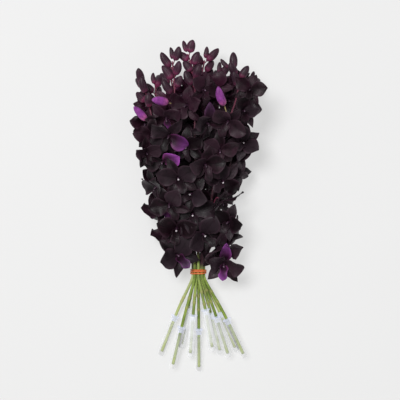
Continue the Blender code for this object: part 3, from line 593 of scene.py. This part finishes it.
def blade_form(blade, root, cup, rng):
    """A petal, sepal or lip in the bloom's frame: a thin closed leaf, as points, faces and marks."""
    swing, stretch, bend, lift, twist, bow, fold, ripple = (rng.uniform(-s, s) for s in BLADE_STRAY)
    phases = rng.uniform(0, 2 * math.pi), rng.uniform(0, 2 * math.pi)
    angle = math.radians(blade.azimuth + swing)
    outward = np.array([math.cos(angle), math.sin(angle), 0.0])
    across = np.array([-math.sin(angle), math.cos(angle), 0.0])
    distance, height = root
    u = np.append(ALONG, 1.0)
    v = ACROSS
    turn_back = np.maximum((u - BLADE_TURN_FROM) / (1 - BLADE_TURN_FROM), 0) ** 2
    slope = blade.lift + cup * blade.closing + lift * u + (blade.curl + bend) * u + blade.back * turn_back
    length = blade.length * BLADE_GROWTH * (1 + stretch)
    steps = np.diff(u) * length
    middle = (slope[1:] + slope[:-1]) / 2
    reach = np.concatenate([[0], np.cumsum(steps * np.cos(middle))]) + distance
    rise = np.concatenate([[0], np.cumsum(steps * np.sin(middle))]) + height
    half = blade_half(blade, u) * BLADE_GROWTH
    if blade is LIP:
        hollow = np.interp(u, LIP_AT, LIP_HOLLOW)
    else:
        hollow = blade.hollow[0] + (blade.hollow[1] - blade.hollow[0]) * u + fold * u
    hollow = np.where(np.abs(hollow) < LEAST_HOLLOW, LEAST_HOLLOW, hollow)[:, None]
    side = half[:, None] * np.sin(hollow * v) / hollow
    up = half[:, None] * (1 - np.cos(hollow * v)) / hollow
    if blade is not LIP:
        up = up + (half * np.interp(u, *CREASE))[:, None] * np.abs(v)
    even, odd = (np.sin(2 * math.pi * count * u + phase) for count, phase in zip(WAVE_COUNTS, phases))
    waves = even[:, None] * v**2 + odd[:, None] * v * np.abs(v)
    fade = np.sin(math.pi / 2 * np.minimum(u, WAVE_END) / WAVE_TOP)
    up = up + blade.wave * (1 + ripple) * waves * fade[:, None]
    angles = (twist * u)[:, None]
    turned_side = side * np.cos(angles) - up * np.sin(angles)
    up = side * np.sin(angles) + up * np.cos(angles)
    side = turned_side + (bow * length * u**2)[:, None]
    normal = np.cos(slope)[:, None] * UP - np.sin(slope)[:, None] * outward
    centre = reach[:, None] * outward + rise[:, None] * UP
    grid = centre[:, None] + side[..., None] * across + up[..., None] * normal[:, None]
    facing = np.cos(hollow * v)[..., None] * normal[:, None] - np.sin(hollow * v)[..., None] * across
    thick = BLADE_THICKNESS * (1 - EDGE_THINNING * v**2) * (1 - END_THINNING * u[:, None])
    offset = facing * thick[..., None] / 2
    rows, columns = len(ALONG), len(v)
    inner = np.zeros((rows, columns), bool)
    inner[1:, 1:-1] = True
    front = np.arange(rows * columns).reshape(rows, columns)
    back = front.copy()
    back[inner] = rows * columns + np.arange(inner.sum())
    places = grid[:-1].copy()
    places[inner] += offset[:-1][inner]
    behind = grid[:-1][inner] - offset[:-1][inner]
    tip = grid[-1].mean(axis=0, keepdims=True)
    points = np.concatenate([places.reshape(-1, 3), behind, tip])
    end = len(points) - 1

    def quads(index, flip):
        corners = [index[:-1, :-1], index[1:, :-1], index[1:, 1:], index[:-1, 1:]]
        return np.stack(corners[::-1] if flip else corners, axis=-1).reshape(-1, 4)

    def fan(row, flip):
        ends = np.full(columns - 1, end)
        return np.stack([row[1:], row[:-1], ends] if flip else [row[:-1], ends, row[1:]], axis=-1)

    faces = [quads(front, False), quads(back, True), fan(front[-1], False), fan(back[-1], True)]
    along = np.broadcast_to(ALONG[:, None], (rows, columns))
    over = np.broadcast_to(v, (rows, columns))
    where = np.stack([along, over], axis=-1)
    marks = np.concatenate([where.reshape(-1, 2), where[inner], [[1.0, 0.0]]])
    return points, faces, marks


class Bloom:
    """One bloom: where it stands, its stalk, its three sepals, its two petals and its lip."""

    def __init__(self, found, spray, rng):
        self.length, self.centre, self.face, self.up, self.leave, scale, cup = found
        self.right = np.cross(self.up, self.face)
        away = np.linalg.norm(self.centre[:2] - ABOVE_BAND)
        self.scale = scale * float(np.interp(away, SPREAD_REACH, SPREAD_BY))
        self.spray = spray
        self.shade = rng.random()
        self.seed = rng.random()
        blades = [(blade, BACK_ROOT) for blade in SEPALS]
        blades += [(blade, FRONT_ROOT) for blade in (*PETALS, LIP)]
        self.blades = []
        for blade, root in blades:
            points, faces, marks = blade_form(blade, root, cup, rng)
            points = self.place(points)
            leaf = (*marks.T, rng.random())
            self.blades.append(SimpleNamespace(points=points, faces=faces, leaf=leaf, violet=0.0))
        gaps = [np.linalg.norm(self.centre[:2] - spot) for spot in WHITE_ANTHERS]
        self.white = float(min(gaps) < WHITE_REACH)

    def place(self, points):
        """Points of the bloom's own frame, in the bunch, and pressed flat where they meet the surface."""
        places = self.centre + self.scale * (points @ np.array([self.right, self.up, self.face]))
        low = np.minimum(places[:, 2] / PRESSED_BELOW - 1, 0)
        places[:, 2] = np.where(low < 0, PRESSED_BELOW * np.exp(low), places[:, 2])
        return places

    def round_part(self, rows, sides):
        """A round part of the bloom's middle, from its points (y, z) with a radius each."""
        y, z, radii = np.array(rows).T
        body, faces, _, _ = round_form(np.stack([0 * y, y, z], axis=-1), radii, sides)
        return self.place(body), faces

    def stalk(self):
        """The stalk's points, from inside the stem to the bloom's back."""
        a = self.spray.path.at(self.length)
        d = self.centre - self.face * HUB_BACK * self.scale
        reach = np.linalg.norm(d - a)
        b = a + self.leave * reach * STALK_HOLD[0]
        c = d - self.face * reach * STALK_HOLD[1]
        t = np.linspace(0, 1, STALK_STEPS)[:, None]
        s = 1 - t
        return a * s**3 + b * 3 * t * s**2 + c * 3 * t**2 * s + d * t**3

    def grow(self, petals, hearts, anthers, stem):
        """Adds the bloom to its spray's pieces."""
        for blade in self.blades:
            tint = (blade.violet, self.shade, youth_at(blade.points))
            petals.add(blade.points, blade.faces, blade.leaf, tint)
        for rows in (COLUMN, CHIN):
            hearts.add(*self.round_part(rows, HUB_SIDES))
        anthers.add(*self.round_part(ANTHER, ANTHER_SIDES), tint=(self.white, self.seed, 0.0))
        radii = np.interp(np.linspace(0, 1, STALK_STEPS), STALK_AT, STALK_WIDE)
        body, faces, along, around = round_form(self.stalk(), radii, STALK_SIDES)
        pink = STALK_PINK[0] + STALK_PINK[1] * self.seed * along / along.max()
        stem.add(body, faces, (along, around, self.seed), (0.0, pink, 0.0))


def youth_at(points):
    """How young the flower at some points is, from 0 to 1: more at the top end, and less to its right."""
    x, y = points[:, 0].mean(), points[:, 1].mean()
    return float(np.interp(y - OLDER_TO_RIGHT * max(x, 0), YOUNG_HEIGHTS, [0.0, 1.0]))


def bud_form(buds, stem, foot, bud, rng):
    """A bud on its short stalk: a pointed body of three folded sepals, with a chin low on one side."""
    _, way, reach, size, radius = bud
    seed = rng.random()
    pale = float(size > PALE_BUD_LENGTH)
    young = BUD_YOUTH + (1 - BUD_YOUTH) * youth_at(foot[None])
    way = unit(way + UP * PALE_RISE * pale + AHEAD * BUD_AHEAD * (1 - pale))
    full = BUD_FULLNESS + BUD_SWELLING * young * rng.random()
    top = foot + way * reach
    aside = turned(square_to(UP, way), way, rng.uniform(0, 2 * math.pi))
    if reach > 0:
        t = np.linspace(0, 1, BUD_STALK_STEPS)[:, None]
        sag = np.sin(math.pi * t) * BUD_STALK_SAG
        points = foot + way * (reach + BUD_STALK_SUNK) * t + aside * sag
        radii = np.interp(t[:, 0], BUD_STALK_AT, BUD_STALK_WIDE)
        body, faces, along, around = round_form(points, radii, STALK_SIDES)
        pink = BUD_STALK_PINK[0] + BUD_STALK_PINK[1] * along / along.max()
        stem.add(body, faces, (along, around, seed), (0.0, pink, pale))
    u = np.array(BUD_AT)[:, None]
    turns = 2 * math.pi * np.arange(BUD_SIDES) / BUD_SIDES
    folds = 1 - BUD_FOLD * np.abs(np.cos(1.5 * turns))
    chin_at, chin_length, chin_out = BUD_CHIN
    chin = np.exp(-(((u - chin_at) / chin_length) ** 2)) * np.maximum(np.cos(turns), 0) ** 2
    radii = radius * full * (np.array(BUD_WIDE)[:, None] * folds + chin_out * chin * (u > 0))
    bow = aside * np.sin(math.pi * u) * BUD_BOW * size
    body, faces, along, around = round_form(top + way * u * size * BUD_STRETCH + bow, radii, BUD_SIDES)
    buds.add(body, faces, (along / along.max(), np.cos(3 * around), 0.0), (pale, seed, young))


def stem_form(stem, spray, greens, lengths, rng):
    """A stem from its cut end to its tip bud, swollen a little where each stalk leaves it."""
    seed = rng.random()
    count = round(spray.path.length / STEM_STEP)
    at = np.linspace(0, spray.path.length + STEM_OVER, count)
    nodes = list(lengths)
    for distance in BARE_NODES:
        nodes.append(spray.tie_start - distance - rng.uniform(-BARE_NODE_STRAY, BARE_NODE_STRAY))
    at = np.sort(np.concatenate([at, *[NODE_RINGS + node for node in nodes]]))
    at = at[(at >= 0) & (at <= spray.path.length)]
    at = at[np.diff(at, prepend=-1.0) > LEAST_STEP]
    points = spray.path.at(at).T
    swell = np.zeros(len(at))
    for node in nodes:
        swell = np.maximum(swell, np.exp(-(((at - node) / NODE_REACH) ** 2)))
    radii = spray.radius(at) * (1 + NODE_SWELL * swell)
    tip = points[-1] + spray.path.direction(spray.path.length)
    points = np.concatenate([[points[0] - spray.tube_way * CUT_FACE], points, [tip]])
    radii = np.concatenate([[0], radii, [0]])
    swell = np.concatenate([[0], swell, [0]])
    body, faces, along, around = round_form(points, radii, STEM_SIDES)
    steps = np.linalg.norm(np.diff(points, axis=0), axis=1)
    pale = np.interp(along, np.concatenate([[0], np.cumsum(steps)]), swell)
    # Green fades to the dark of the stems among the flowers, which is partly painted shade
    green = np.interp(body[:, 1], greens, [1.0, 0.0])
    pink = np.interp(body[:, 1], PINK_HEIGHTS, PINK)
    stem.add(body, faces, (along, around, seed), (green, pink, pale * green))


def lathe(profile, axis, foot):
    """A profile of (radius, height) turned about an axis. A profile that starts and ends on the axis is a
    solid closed by its two ends, and any other is a ring."""
    first = square_to(UP, axis)
    second = np.cross(axis, first)
    turns = 2 * np.pi * np.arange(LATHE_SIDES) / LATHE_SIDES
    spokes = np.outer(np.cos(turns), first) + np.outer(np.sin(turns), second)
    ring = profile[0][0] > 0
    rows = profile if ring else profile[1:-1]
    points = [foot + axis * height + spokes * radius for radius, height in rows]
    if not ring:
        points.append([foot + axis * profile[0][1], foot + axis * profile[-1][1]])
    return np.concatenate(points), ring_faces(len(rows), LATHE_SIDES, ring)


def tube_profile():
    """The tube's round end, its side, its rim, and its inside back to the middle."""
    turns = [math.pi / 2 * step / NOSE_STEPS for step in range(NOSE_STEPS + 1)]
    outer = [(TUBE_RADIUS * math.sin(a), TUBE_SHOULDER * (1 - math.cos(a))) for a in turns]
    lip = [
        (TUBE_RADIUS, TUBE_LENGTH - 1.6),
        (TUBE_RADIUS + 0.35, TUBE_LENGTH - 1.3),
        (TUBE_RADIUS + 0.35, TUBE_LENGTH - 0.2),
        (TUBE_RADIUS + 0.1, TUBE_LENGTH),
        (TUBE_RADIUS - TUBE_WALL + 0.1, TUBE_LENGTH),
        (TUBE_RADIUS - TUBE_WALL, TUBE_LENGTH - 0.3),
    ]
    inner = []
    for a in reversed(turns):
        width = (TUBE_RADIUS - TUBE_WALL) * math.sin(a)
        inner.append((width, TUBE_SHOULDER - (TUBE_SHOULDER - TUBE_WALL) * math.cos(a)))
    return outer + lip + inner


def cap_profile():
    """The cap's plug in the tube, its flange, and its collar round the stem."""
    hole = CUT_RADIUS + ROOM
    plug = TUBE_RADIUS - TUBE_WALL - ROOM
    low = CAP_SEAT - CAP_PLUG
    return [
        (hole, low),
        (plug - 0.5, low),
        (plug, low + 0.6),
        (plug, CAP_SEAT - 0.2),
        (6.5, CAP_SEAT),
        (6.75, CAP_SEAT + 0.35),
        (6.75, CAP_SEAT + 1.1),
        (6.45, CAP_SEAT + 1.5),
        (4.3, CAP_SEAT + 1.6),
        (3.3, CAP_SEAT + 2.3),
        (2.9, CAP_SEAT + 2.5),
        (hole, CAP_SEAT + 2.4),
        (hole, CAP_SEAT),
    ]


def water_profile():
    """The water, which climbs a little at the tube and at the stem, with the cut end's pit in it."""
    outside = TUBE_RADIUS - TUBE_WALL - ROOM
    bottom = TUBE_WALL + ROOM
    top = TUBE_LENGTH - CAP_PLUG - 4.0
    hole = CUT_RADIUS + ROOM / 2
    rows = [(0.0, bottom)]
    for step in range(1, WATER_NOSE_STEPS + 1):
        angle = math.pi / 2 * step / WATER_NOSE_STEPS
        height = TUBE_SHOULDER - (TUBE_SHOULDER - bottom) * math.cos(angle)
        rows.append((outside * math.sin(angle), height))
    rows += [(outside, top + 0.5), (outside - 0.4, top), (hole + 0.4, top), (hole, top + 0.5)]
    rows += [(hole, CUT_END_DEPTH - 0.4), (0.0, CUT_END_DEPTH - 0.4)]
    return rows


def band_form(band, sprays):
    """The rubber band's turns, drawn tight round the tied stems and tilted a little to each other."""
    centres = [spray.slot for spray in sprays]
    for y, tilt, phase in BAND_STRANDS:
        points = []
        for i in range(BAND_STATIONS):
            angle = 2 * math.pi * i / BAND_STATIONS
            way = np.array([math.cos(angle), 0, math.sin(angle)])
            edge = max(centres, key=lambda c: np.dot(c, way)) + way * BAND_REACH
            points.append(edge + AHEAD * (y + tilt * math.cos(angle + phase)))
        body, faces, _, _ = round_form(points, np.ones(BAND_STATIONS), BAND_SIDES, loop=True)
        middle = np.repeat(points, BAND_SIDES, axis=0)
        out = body - middle
        body = middle + out * BAND_THICK + AHEAD * (out[:, 1:2] * (BAND_WIDE - BAND_THICK))
        band.add(body, faces)


class Recipe:
    """A material, and its nodes as they are made and linked."""

    def __init__(self, name):
        self.material = bpy.data.materials.new(name)
        self.material.use_nodes = True
        self.tree = self.material.node_tree
        self.shader = self.tree.nodes["Principled BSDF"]

    def node(self, kind, inputs=(), output=0, **settings):
        """Adds a node. Its inputs are values or other nodes' outputs, by name or number."""
        node = self.tree.nodes.new("ShaderNode" + kind)
        for name, value in settings.items():
            setattr(node, name, value)
        for name, value in dict(inputs).items():
            self.feed(node.inputs[name], value)
        return node.outputs[output]

    def feed(self, socket, value):
        if isinstance(value, bpy.types.NodeSocket):
            self.tree.links.new(value, socket)
        elif isinstance(value, tuple) and len(value) == 3 and socket.type == "RGBA":
            socket.default_value = (*value, 1.0)
        else:
            socket.default_value = value

    def shade(self, **values):
        for name, value in values.items():
            self.feed(self.shader.inputs[name.replace("_", " ")], value)
        return self.material

    def maths(self, operation, a, b=0.0):
        return self.node("Math", {0: a, 1: b}, operation=operation)

    def plus(self, a, b):
        return self.maths("ADD", a, b)

    def times(self, a, b):
        return self.maths("MULTIPLY", a, b)

    def mix(self, share, a, b):
        return self.node("Mix", {0: share, 6: a, 7: b}, output=2, data_type="RGBA")

    def fit(self, value, low, high, to_low=0.0, to_high=1.0):
        inputs = {0: value, 1: low, 2: high, 3: to_low, 4: to_high}
        return self.node("MapRange", inputs)

    def vary(self, noise, low=0.0, high=1.0):
        """A noise's usual range, fitted to another."""
        return self.fit(noise, *NOISE_RANGE, low, high)

    def noise(self, scale, detail=3.0):
        place = self.node("TexCoord", output=3)
        inputs = {"Vector": place, "Scale": scale, "Detail": detail, "Roughness": NOISE_ROUGHNESS}
        return self.node("TexNoise", inputs)

    def marks(self, name):
        vector = self.node("Attribute", attribute_name=name, output=1)
        split = self.tree.nodes.new("ShaderNodeSeparateXYZ")
        self.tree.links.new(vector, split.inputs[0])
        return split.outputs

    def bump(self, height, distance, strength=1.0):
        inputs = {"Height": height, "Distance": distance, "Strength": strength}
        return self.node("Bump", inputs)


def veins(r, u, v, blotch):
    """Fine lines that run along a petal and spread a little to its edges, from 0 to 1."""
    spread = r.times(v, r.fit(u, 0.0, 1.0, 52.0, 30.0))
    wander = r.times(blotch, 5.0)
    lines = r.maths("SINE", r.plus(spread, wander))
    return r.fit(lines, 0.2, 1.0)


def petal_material():
    """Waxy petals, dyed near black, with a purple cast, fine veins, and violet where the dye is thin, with
    painted shade along their middle crease and a painted sheen that lightens their edges.
    """
    r = Recipe("dyed_petal")
    u, v, chance = r.marks("leaf")
    violet, shade, young = r.marks("tint")
    blotch = r.noise(70.0, 3.0)
    fine = r.noise(420.0, 4.0)
    lines = veins(r, u, v, blotch)
    grey = r.fit(r.plus(shade, chance), 0.3, 1.5)
    dark = r.mix(grey, (0.0060, 0.0010, 0.0030), (0.0024, 0.0018, 0.0022))
    light = r.mix(grey, (0.0440, 0.0105, 0.0240), (0.0210, 0.0125, 0.0175))
    tone = r.plus(blotch, r.fit(chance, 0.0, 1.0, -0.34, 0.30))
    base = r.mix(r.fit(tone, 0.30, 0.72), dark, light)
    base = r.mix(r.times(lines, 0.3), base, (0.006, 0.002, 0.004))
    # Painted shade: a dark line down each petal's middle, in its crease, with a groove in the bump below
    aside = r.maths("ABSOLUTE", v)
    middle = r.fit(aside, 0.0, 0.09, 0.45, 0.0)
    base = r.mix(middle, base, (0.005, 0.002, 0.004))
    # Painted sheen: each petal lighter towards its edges
    rim = r.fit(aside, 0.70, 1.0, 0.0, 0.45)
    base = r.mix(rim, base, (0.058, 0.026, 0.042))
    redder = r.times(shade, r.vary(blotch, 0.7, 1.4))
    fresh = r.mix(redder, (0.020, 0.004, 0.012), (0.100, 0.016, 0.052))
    base = r.mix(r.times(young, 0.85), base, fresh)
    glow = r.mix(r.fit(u, 0.05, 0.70), (0.440, 0.060, 0.300), (0.380, 0.080, 0.430))
    glow = r.mix(r.times(lines, 0.4), glow, (0.100, 0.018, 0.125))
    edge = r.fit(aside, 0.5, 1.0, 0.0, 0.6)
    spread = r.plus(r.fit(u, 0.30, 0.90, 0.08, 0.90), edge)
    thin = r.times(r.times(violet, spread), r.fit(blotch, 0.30, 0.55, 0.45, 1.0))
    thin = r.fit(thin, 0.0, 1.0)
    base = r.mix(thin, base, glow)
    height = r.plus(r.times(lines, -0.5), fine)
    height = r.plus(height, r.times(middle, -1.5))
    rough = r.vary(fine, 0.38, 0.52)
    return r.shade(
        Base_Color=base,
        Roughness=rough,
        Specular_IOR_Level=0.20,
        Sheen_Weight=0.03,
        Sheen_Roughness=0.35,
        Sheen_Tint=(0.80, 0.50, 0.70, 1.0),
        Normal=r.bump(height, 0.0003, 0.6),
    )


def heart_material():
    """The hub and column of a bloom."""
    r = Recipe("dyed_heart")
    blotch = r.noise(260.0)
    base = r.mix(blotch, (0.010, 0.004, 0.008), (0.045, 0.014, 0.034))
    return r.shade(
        Base_Color=base,
        Roughness=r.vary(blotch, 0.40, 0.55),
        Specular_IOR_Level=0.3,
        Normal=r.bump(r.noise(900.0), 0.0002, 0.5),
    )


def anther_material():
    """The caps on the columns: white on some blooms, and dyed on the rest."""
    r = Recipe("anther_cap")
    white, seed, _ = r.marks("tint")
    blotch = r.noise(700.0)
    pale = r.mix(blotch, (0.62, 0.58, 0.58), (0.48, 0.40, 0.47))
    dyed = r.mix(r.times(seed, blotch), (0.020, 0.008, 0.016), (0.300, 0.180, 0.280))
    return r.shade(
        Base_Color=r.mix(white, dyed, pale),
        Roughness=r.vary(blotch, 0.35, 0.5),
        Normal=r.bump(blotch, 0.0002, 0.5),
    )


def bud_material():
    """Buds: reddish purple, pinker at their foot and among the young ones, with painted shade in the grooves
    at the seams of their sepals, or violet."""
    r = Recipe("dyed_bud")
    u, fold, _ = r.marks("leaf")
    violet, seed, young = r.marks("tint")
    blotch = r.noise(180.0)
    old = r.mix(blotch, (0.010, 0.005, 0.008), (0.034, 0.012, 0.024))
    tone = r.times(blotch, r.fit(u, 0.0, 0.6, 1.5, 0.7))
    tone = r.times(tone, r.fit(seed, 0.0, 1.0, 0.6, 1.2))
    fresh = r.mix(r.fit(tone, 0.1, 0.9), (0.012, 0.004, 0.008), (0.095, 0.019, 0.052))
    base = r.mix(young, old, fresh)
    # Painted shade: darker along the grooves at the seams of the sepals
    base = r.mix(r.fit(fold, 0.90, 1.0, 0.0, 0.7), base, (0.012, 0.004, 0.009))
    pink = r.times(r.fit(u, 0.38, 0.0), r.fit(seed, 0.0, 1.0, 0.35, 1.0))
    base = r.mix(pink, base, (0.240, 0.026, 0.095))
    glow = r.mix(r.fit(u, 0.05, 0.45), (0.620, 0.150, 0.300), (0.290, 0.055, 0.310))
    glow = r.mix(r.fit(blotch, 0.35, 0.75), glow, (0.110, 0.020, 0.120))
    base = r.mix(violet, base, glow)
    height = r.plus(r.noise(800.0), r.fit(fold, 0.85, 1.0, 0.0, -2.0))
    return r.shade(
        Base_Color=base,
        Roughness=r.vary(blotch, 0.42, 0.6),
        Specular_IOR_Level=0.3,
        Sheen_Weight=0.08,
        Sheen_Tint=(0.7, 0.5, 0.7, 1.0),
        Normal=r.bump(height, 0.0003, 0.6),
    )


def stem_material():
    """Stems, green where they are bare and olive to purple among the flowers, where their dark is partly
    painted shade under the overhanging flowers, with faint ribs.
    """
    r = Recipe("stem")
    along, around, seed = r.marks("leaf")
    green, pink, node = r.marks("tint")
    blotch = r.noise(55.0)
    fine = r.noise(500.0)
    leafy = r.mix(r.vary(blotch), (0.105, 0.170, 0.018), (0.270, 0.360, 0.065))
    leafy = r.mix(r.fit(seed, 0.45, 1.0, 0.0, 0.75), leafy, (0.560, 0.600, 0.280))
    leafy = r.mix(r.fit(seed, 0.25, 0.0, 0.0, 0.55), leafy, (0.055, 0.085, 0.012))
    leafy = r.mix(r.fit(along, 6.0, 60.0, 0.75, 0.0), leafy, (0.400, 0.480, 0.090))
    # Among the flowers: dark purple, pinker towards the top, its darkness partly painted shade under the
    # overhanging flowers
    dark = r.mix(pink, (0.010, 0.003, 0.005), (0.270, 0.040, 0.095))
    base = r.mix(green, dark, leafy)
    ringed = r.times(node, r.fit(green, 0.0, 1.0, 0.9, 0.45))
    base = r.mix(ringed, base, (0.420, 0.340, 0.150))
    ribs = r.maths("SINE", r.times(around, 14.0))
    height = r.plus(r.times(ribs, 0.25), fine)
    return r.shade(
        Base_Color=base,
        Roughness=r.vary(fine, 0.40, 0.58),
        Specular_IOR_Level=0.4,
        Normal=r.bump(height, 0.0002, 0.6),
    )


def clear_material(name, colour, alpha, edge_alpha, roughness, scale):
    """A clear material that shows more at its edges, with faint streaks, fog where it is marked, and a faint
    painted glow that makes it lighter.
    """
    r = Recipe(name)
    share, _, _ = r.marks("leaf")
    fog, _, _ = r.marks("tint")
    edge = r.node("LayerWeight", {"Blend": 0.35}, output=1)
    streaks = r.noise(scale)
    paler = tuple(min(channel * 1.12, 1.0) for channel in colour)
    see = r.plus(r.fit(edge, 0.3, 1.0, alpha, edge_alpha), r.vary(streaks, -0.02, 0.02))
    height = r.plus(share, r.vary(streaks, -0.2, 0.2))
    mist = r.times(fog, r.fit(height, -0.3, 0.6))
    see = r.plus(see, mist)
    return r.shade(
        Base_Color=r.mix(streaks, colour, paler),
        Roughness=r.vary(streaks, roughness, roughness + 0.1),
        Alpha=see,
        # Painted light: a faint white glow of its own, which lightens the clear parts
        Emission_Color=(1.0, 1.0, 1.0, 1.0),
        Emission_Strength=0.18,
    )


def rubber_material():
    """Orange rubber, dusty, with a darker tone in patches."""
    r = Recipe("rubber")
    blotch = r.noise(160.0)
    fine = r.noise(1500.0)
    base = r.mix(r.vary(blotch), (0.480, 0.080, 0.009), (0.660, 0.160, 0.026))
    return r.shade(
        Base_Color=base,
        Roughness=r.vary(fine, 0.42, 0.6),
        Subsurface_Weight=0.1,
        Subsurface_Radius=(0.003, 0.001, 0.0005),
        Normal=r.bump(fine, 0.0001, 0.5),
    )


def floor_material():
    """A pale, matt floor that lights up a little, as in a photograph on a light table."""
    r = Recipe("floor")
    tone = r.noise(6.0, 2.0)
    base = r.mix(tone, (0.275, 0.275, 0.275), (0.285, 0.285, 0.285))
    return r.shade(
        Base_Color=base,
        Roughness=0.9,
        Specular_IOR_Level=0.1,
        Emission_Color=(1.0, 1.0, 0.996, 1.0),
        Emission_Strength=0.53,
    )


def add_piece(name, surface, material, slot, *nodes):
    """Makes one piece of the object, in metres, with its marks, and hides the CAD nodes that it stands for.
    """
    mesh = bpy.data.meshes.new(name)
    mesh.from_pydata((np.concatenate(surface.points) * MM).tolist(), [], surface.faces)
    for mark, rows in (("leaf", surface.leaf), ("tint", surface.tint)):
        layer = mesh.attributes.new(mark, "FLOAT_VECTOR", "POINT")
        layer.data.foreach_set("vector", np.concatenate(rows).astype(np.float32).ravel())
    mesh.shade_smooth()
    mesh.materials.append(material)
    piece = bpy.data.objects.new(name, mesh)
    bpy.context.scene.collection.objects.link(piece)
    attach(piece, "root")
    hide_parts(*nodes)


def paint_violet(blooms):
    """Marks the petal that lies nearest under each violet spot, as seen from above."""
    blades = [blade for bloom in blooms for blade in bloom.blades]
    middles = np.array([blade.points.mean(axis=0) for blade in blades])
    for x, y, strength in VIOLET_SPOTS:
        away = np.linalg.norm(middles[:, :2] - (x, y), axis=1) - VIOLET_DEPTH * middles[:, 2]
        blades[int(np.argmin(away))].violet = strength


def add_sprays(sprays):
    """Five pieces for each spray, grown where the model's meshes have its flowers."""
    rng = random.Random(SEED)
    found = [find_flowers(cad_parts[f"spray_{i:02d}"], spray) for i, spray in enumerate(sprays, 1)]
    blooms = [[Bloom(own, spray, rng) for own in blooms] for spray, (blooms, _) in zip(sprays, found)]
    paint_violet([bloom for group in blooms for bloom in group])
    looks = {
        "petals": petal_material(),
        "hearts": heart_material(),
        "anthers": anther_material(),
        "stem": stem_material(),
        "buds": bud_material(),
    }
    for number, (spray, group, (_, buds)) in enumerate(zip(sprays, blooms, found), 1):
        parts = {name: Surface() for name in looks}
        stem = parts["stem"]
        for bloom in group:
            bloom.grow(parts["petals"], parts["hearts"], parts["anthers"], stem)
        for bud in buds:
            bud_form(parts["buds"], stem, spray.path.at(bud.length), bud, rng)
        end = spray.path.length
        tip = FoundBud(end, spray.path.direction(end), 0.0, TIP_BUD_LENGTH, TIP_BUD_RADIUS)
        bud_form(parts["buds"], stem, spray.path.at(end), tip, rng)
        lengths = [grown.length for grown in (*group, *buds)]
        stem_form(stem, spray, GREEN_FADES.get(number, GREEN_ENDS), lengths, rng)
        for name, surface in parts.items():
            add_piece(f"{name}_{number:02d}", surface, looks[name], "spray", f"spray_{number:02d}")


def add_tubes(sprays):
    """A tube, its cap and its water for each cut end."""
    looks = {
        "water_tube": (
            tube_profile(),
            clear_material("clear_tube", (0.90, 0.92, 0.98), 0.035, 0.48, 0.08, 90.0),
            "tube_plastic",
        ),
        "tube_cap": (
            cap_profile(),
            clear_material("milky_cap", (0.66, 0.70, 0.90), 0.36, 0.56, 0.30, 60.0),
            "cap_plastic",
        ),
        "tube_water": (
            water_profile(),
            clear_material("water", (0.92, 0.96, 0.78), 0.02, 0.12, 0.02, 60.0),
            "water",
        ),
    }
    for number, spray in enumerate(sprays, 1):
        for name, (profile, material, slot) in looks.items():
            surface = Surface()
            points, faces = lathe(profile, spray.tube_way, spray.tube_end)
            share = (points - spray.tube_end) @ spray.tube_way / TUBE_LENGTH
            fog = TUBE_FOG[number - 1] if name == "water_tube" else 0.0
            surface.add(points, faces, (share, 0.0, 0.0), (fog, 0.0, 0.0))
            node = f"{name}_{number:02d}"
            add_piece(f"clear_{node}", surface, material, slot, node)


def add_stage():
    """The pale floor, soft light from above, and the camera straight over the bunch."""
    mesh = bpy.data.meshes.new("floor")
    corners = [(x * FLOOR_HALF, y * FLOOR_HALF, FLOOR_Z) for x, y in ((-1, -1), (1, -1), (1, 1), (-1, 1))]
    mesh.from_pydata(corners, [], [(0, 1, 2, 3)])
    mesh.materials.append(floor_material())
    floor = bpy.data.objects.new("floor", mesh)
    bpy.context.scene.collection.objects.link(floor)

    world = bpy.data.worlds.new("studio")
    world.use_nodes = True
    background = world.node_tree.nodes["Background"]
    background.inputs["Color"].default_value = (1.0, 1.0, 1.0, 1.0)
    background.inputs["Strength"].default_value = WORLD_STRENGTH
    bpy.context.scene.world = world
    for name, place, size, power in LIGHTS:
        light = bpy.data.lights.new(name, "AREA")
        light.shape = "DISK"
        light.size = size
        light.energy = power
        lamp = bpy.data.objects.new(name, light)
        lamp.location = place
        lamp.rotation_mode = "QUATERNION"
        lamp.rotation_quaternion = (-Vector(place)).to_track_quat("-Z", "Y")
        lamp.visible_camera = False
        bpy.context.scene.collection.objects.link(lamp)

    data = bpy.data.cameras.new("camera")
    data.sensor_width = 36.0
    data.lens = data.sensor_width / 2 / math.tan(CAMERA_FIELD / 2)
    data.dof.use_dof = False
    camera = bpy.data.objects.new("camera", data)
    camera.location = CAMERA_PLACE
    bpy.context.scene.collection.objects.link(camera)
    bpy.context.scene.camera = camera
    bpy.context.scene.view_settings.view_transform = "Standard"


def main():
    add_stage()
    sprays = [Spray(plan) for plan in PLANS]
    add_sprays(sprays)
    add_tubes(sprays)
    band = Surface()
    band_form(band, sprays)
    add_piece("band", band, rubber_material(), "rubber", "rubber_band")


main()
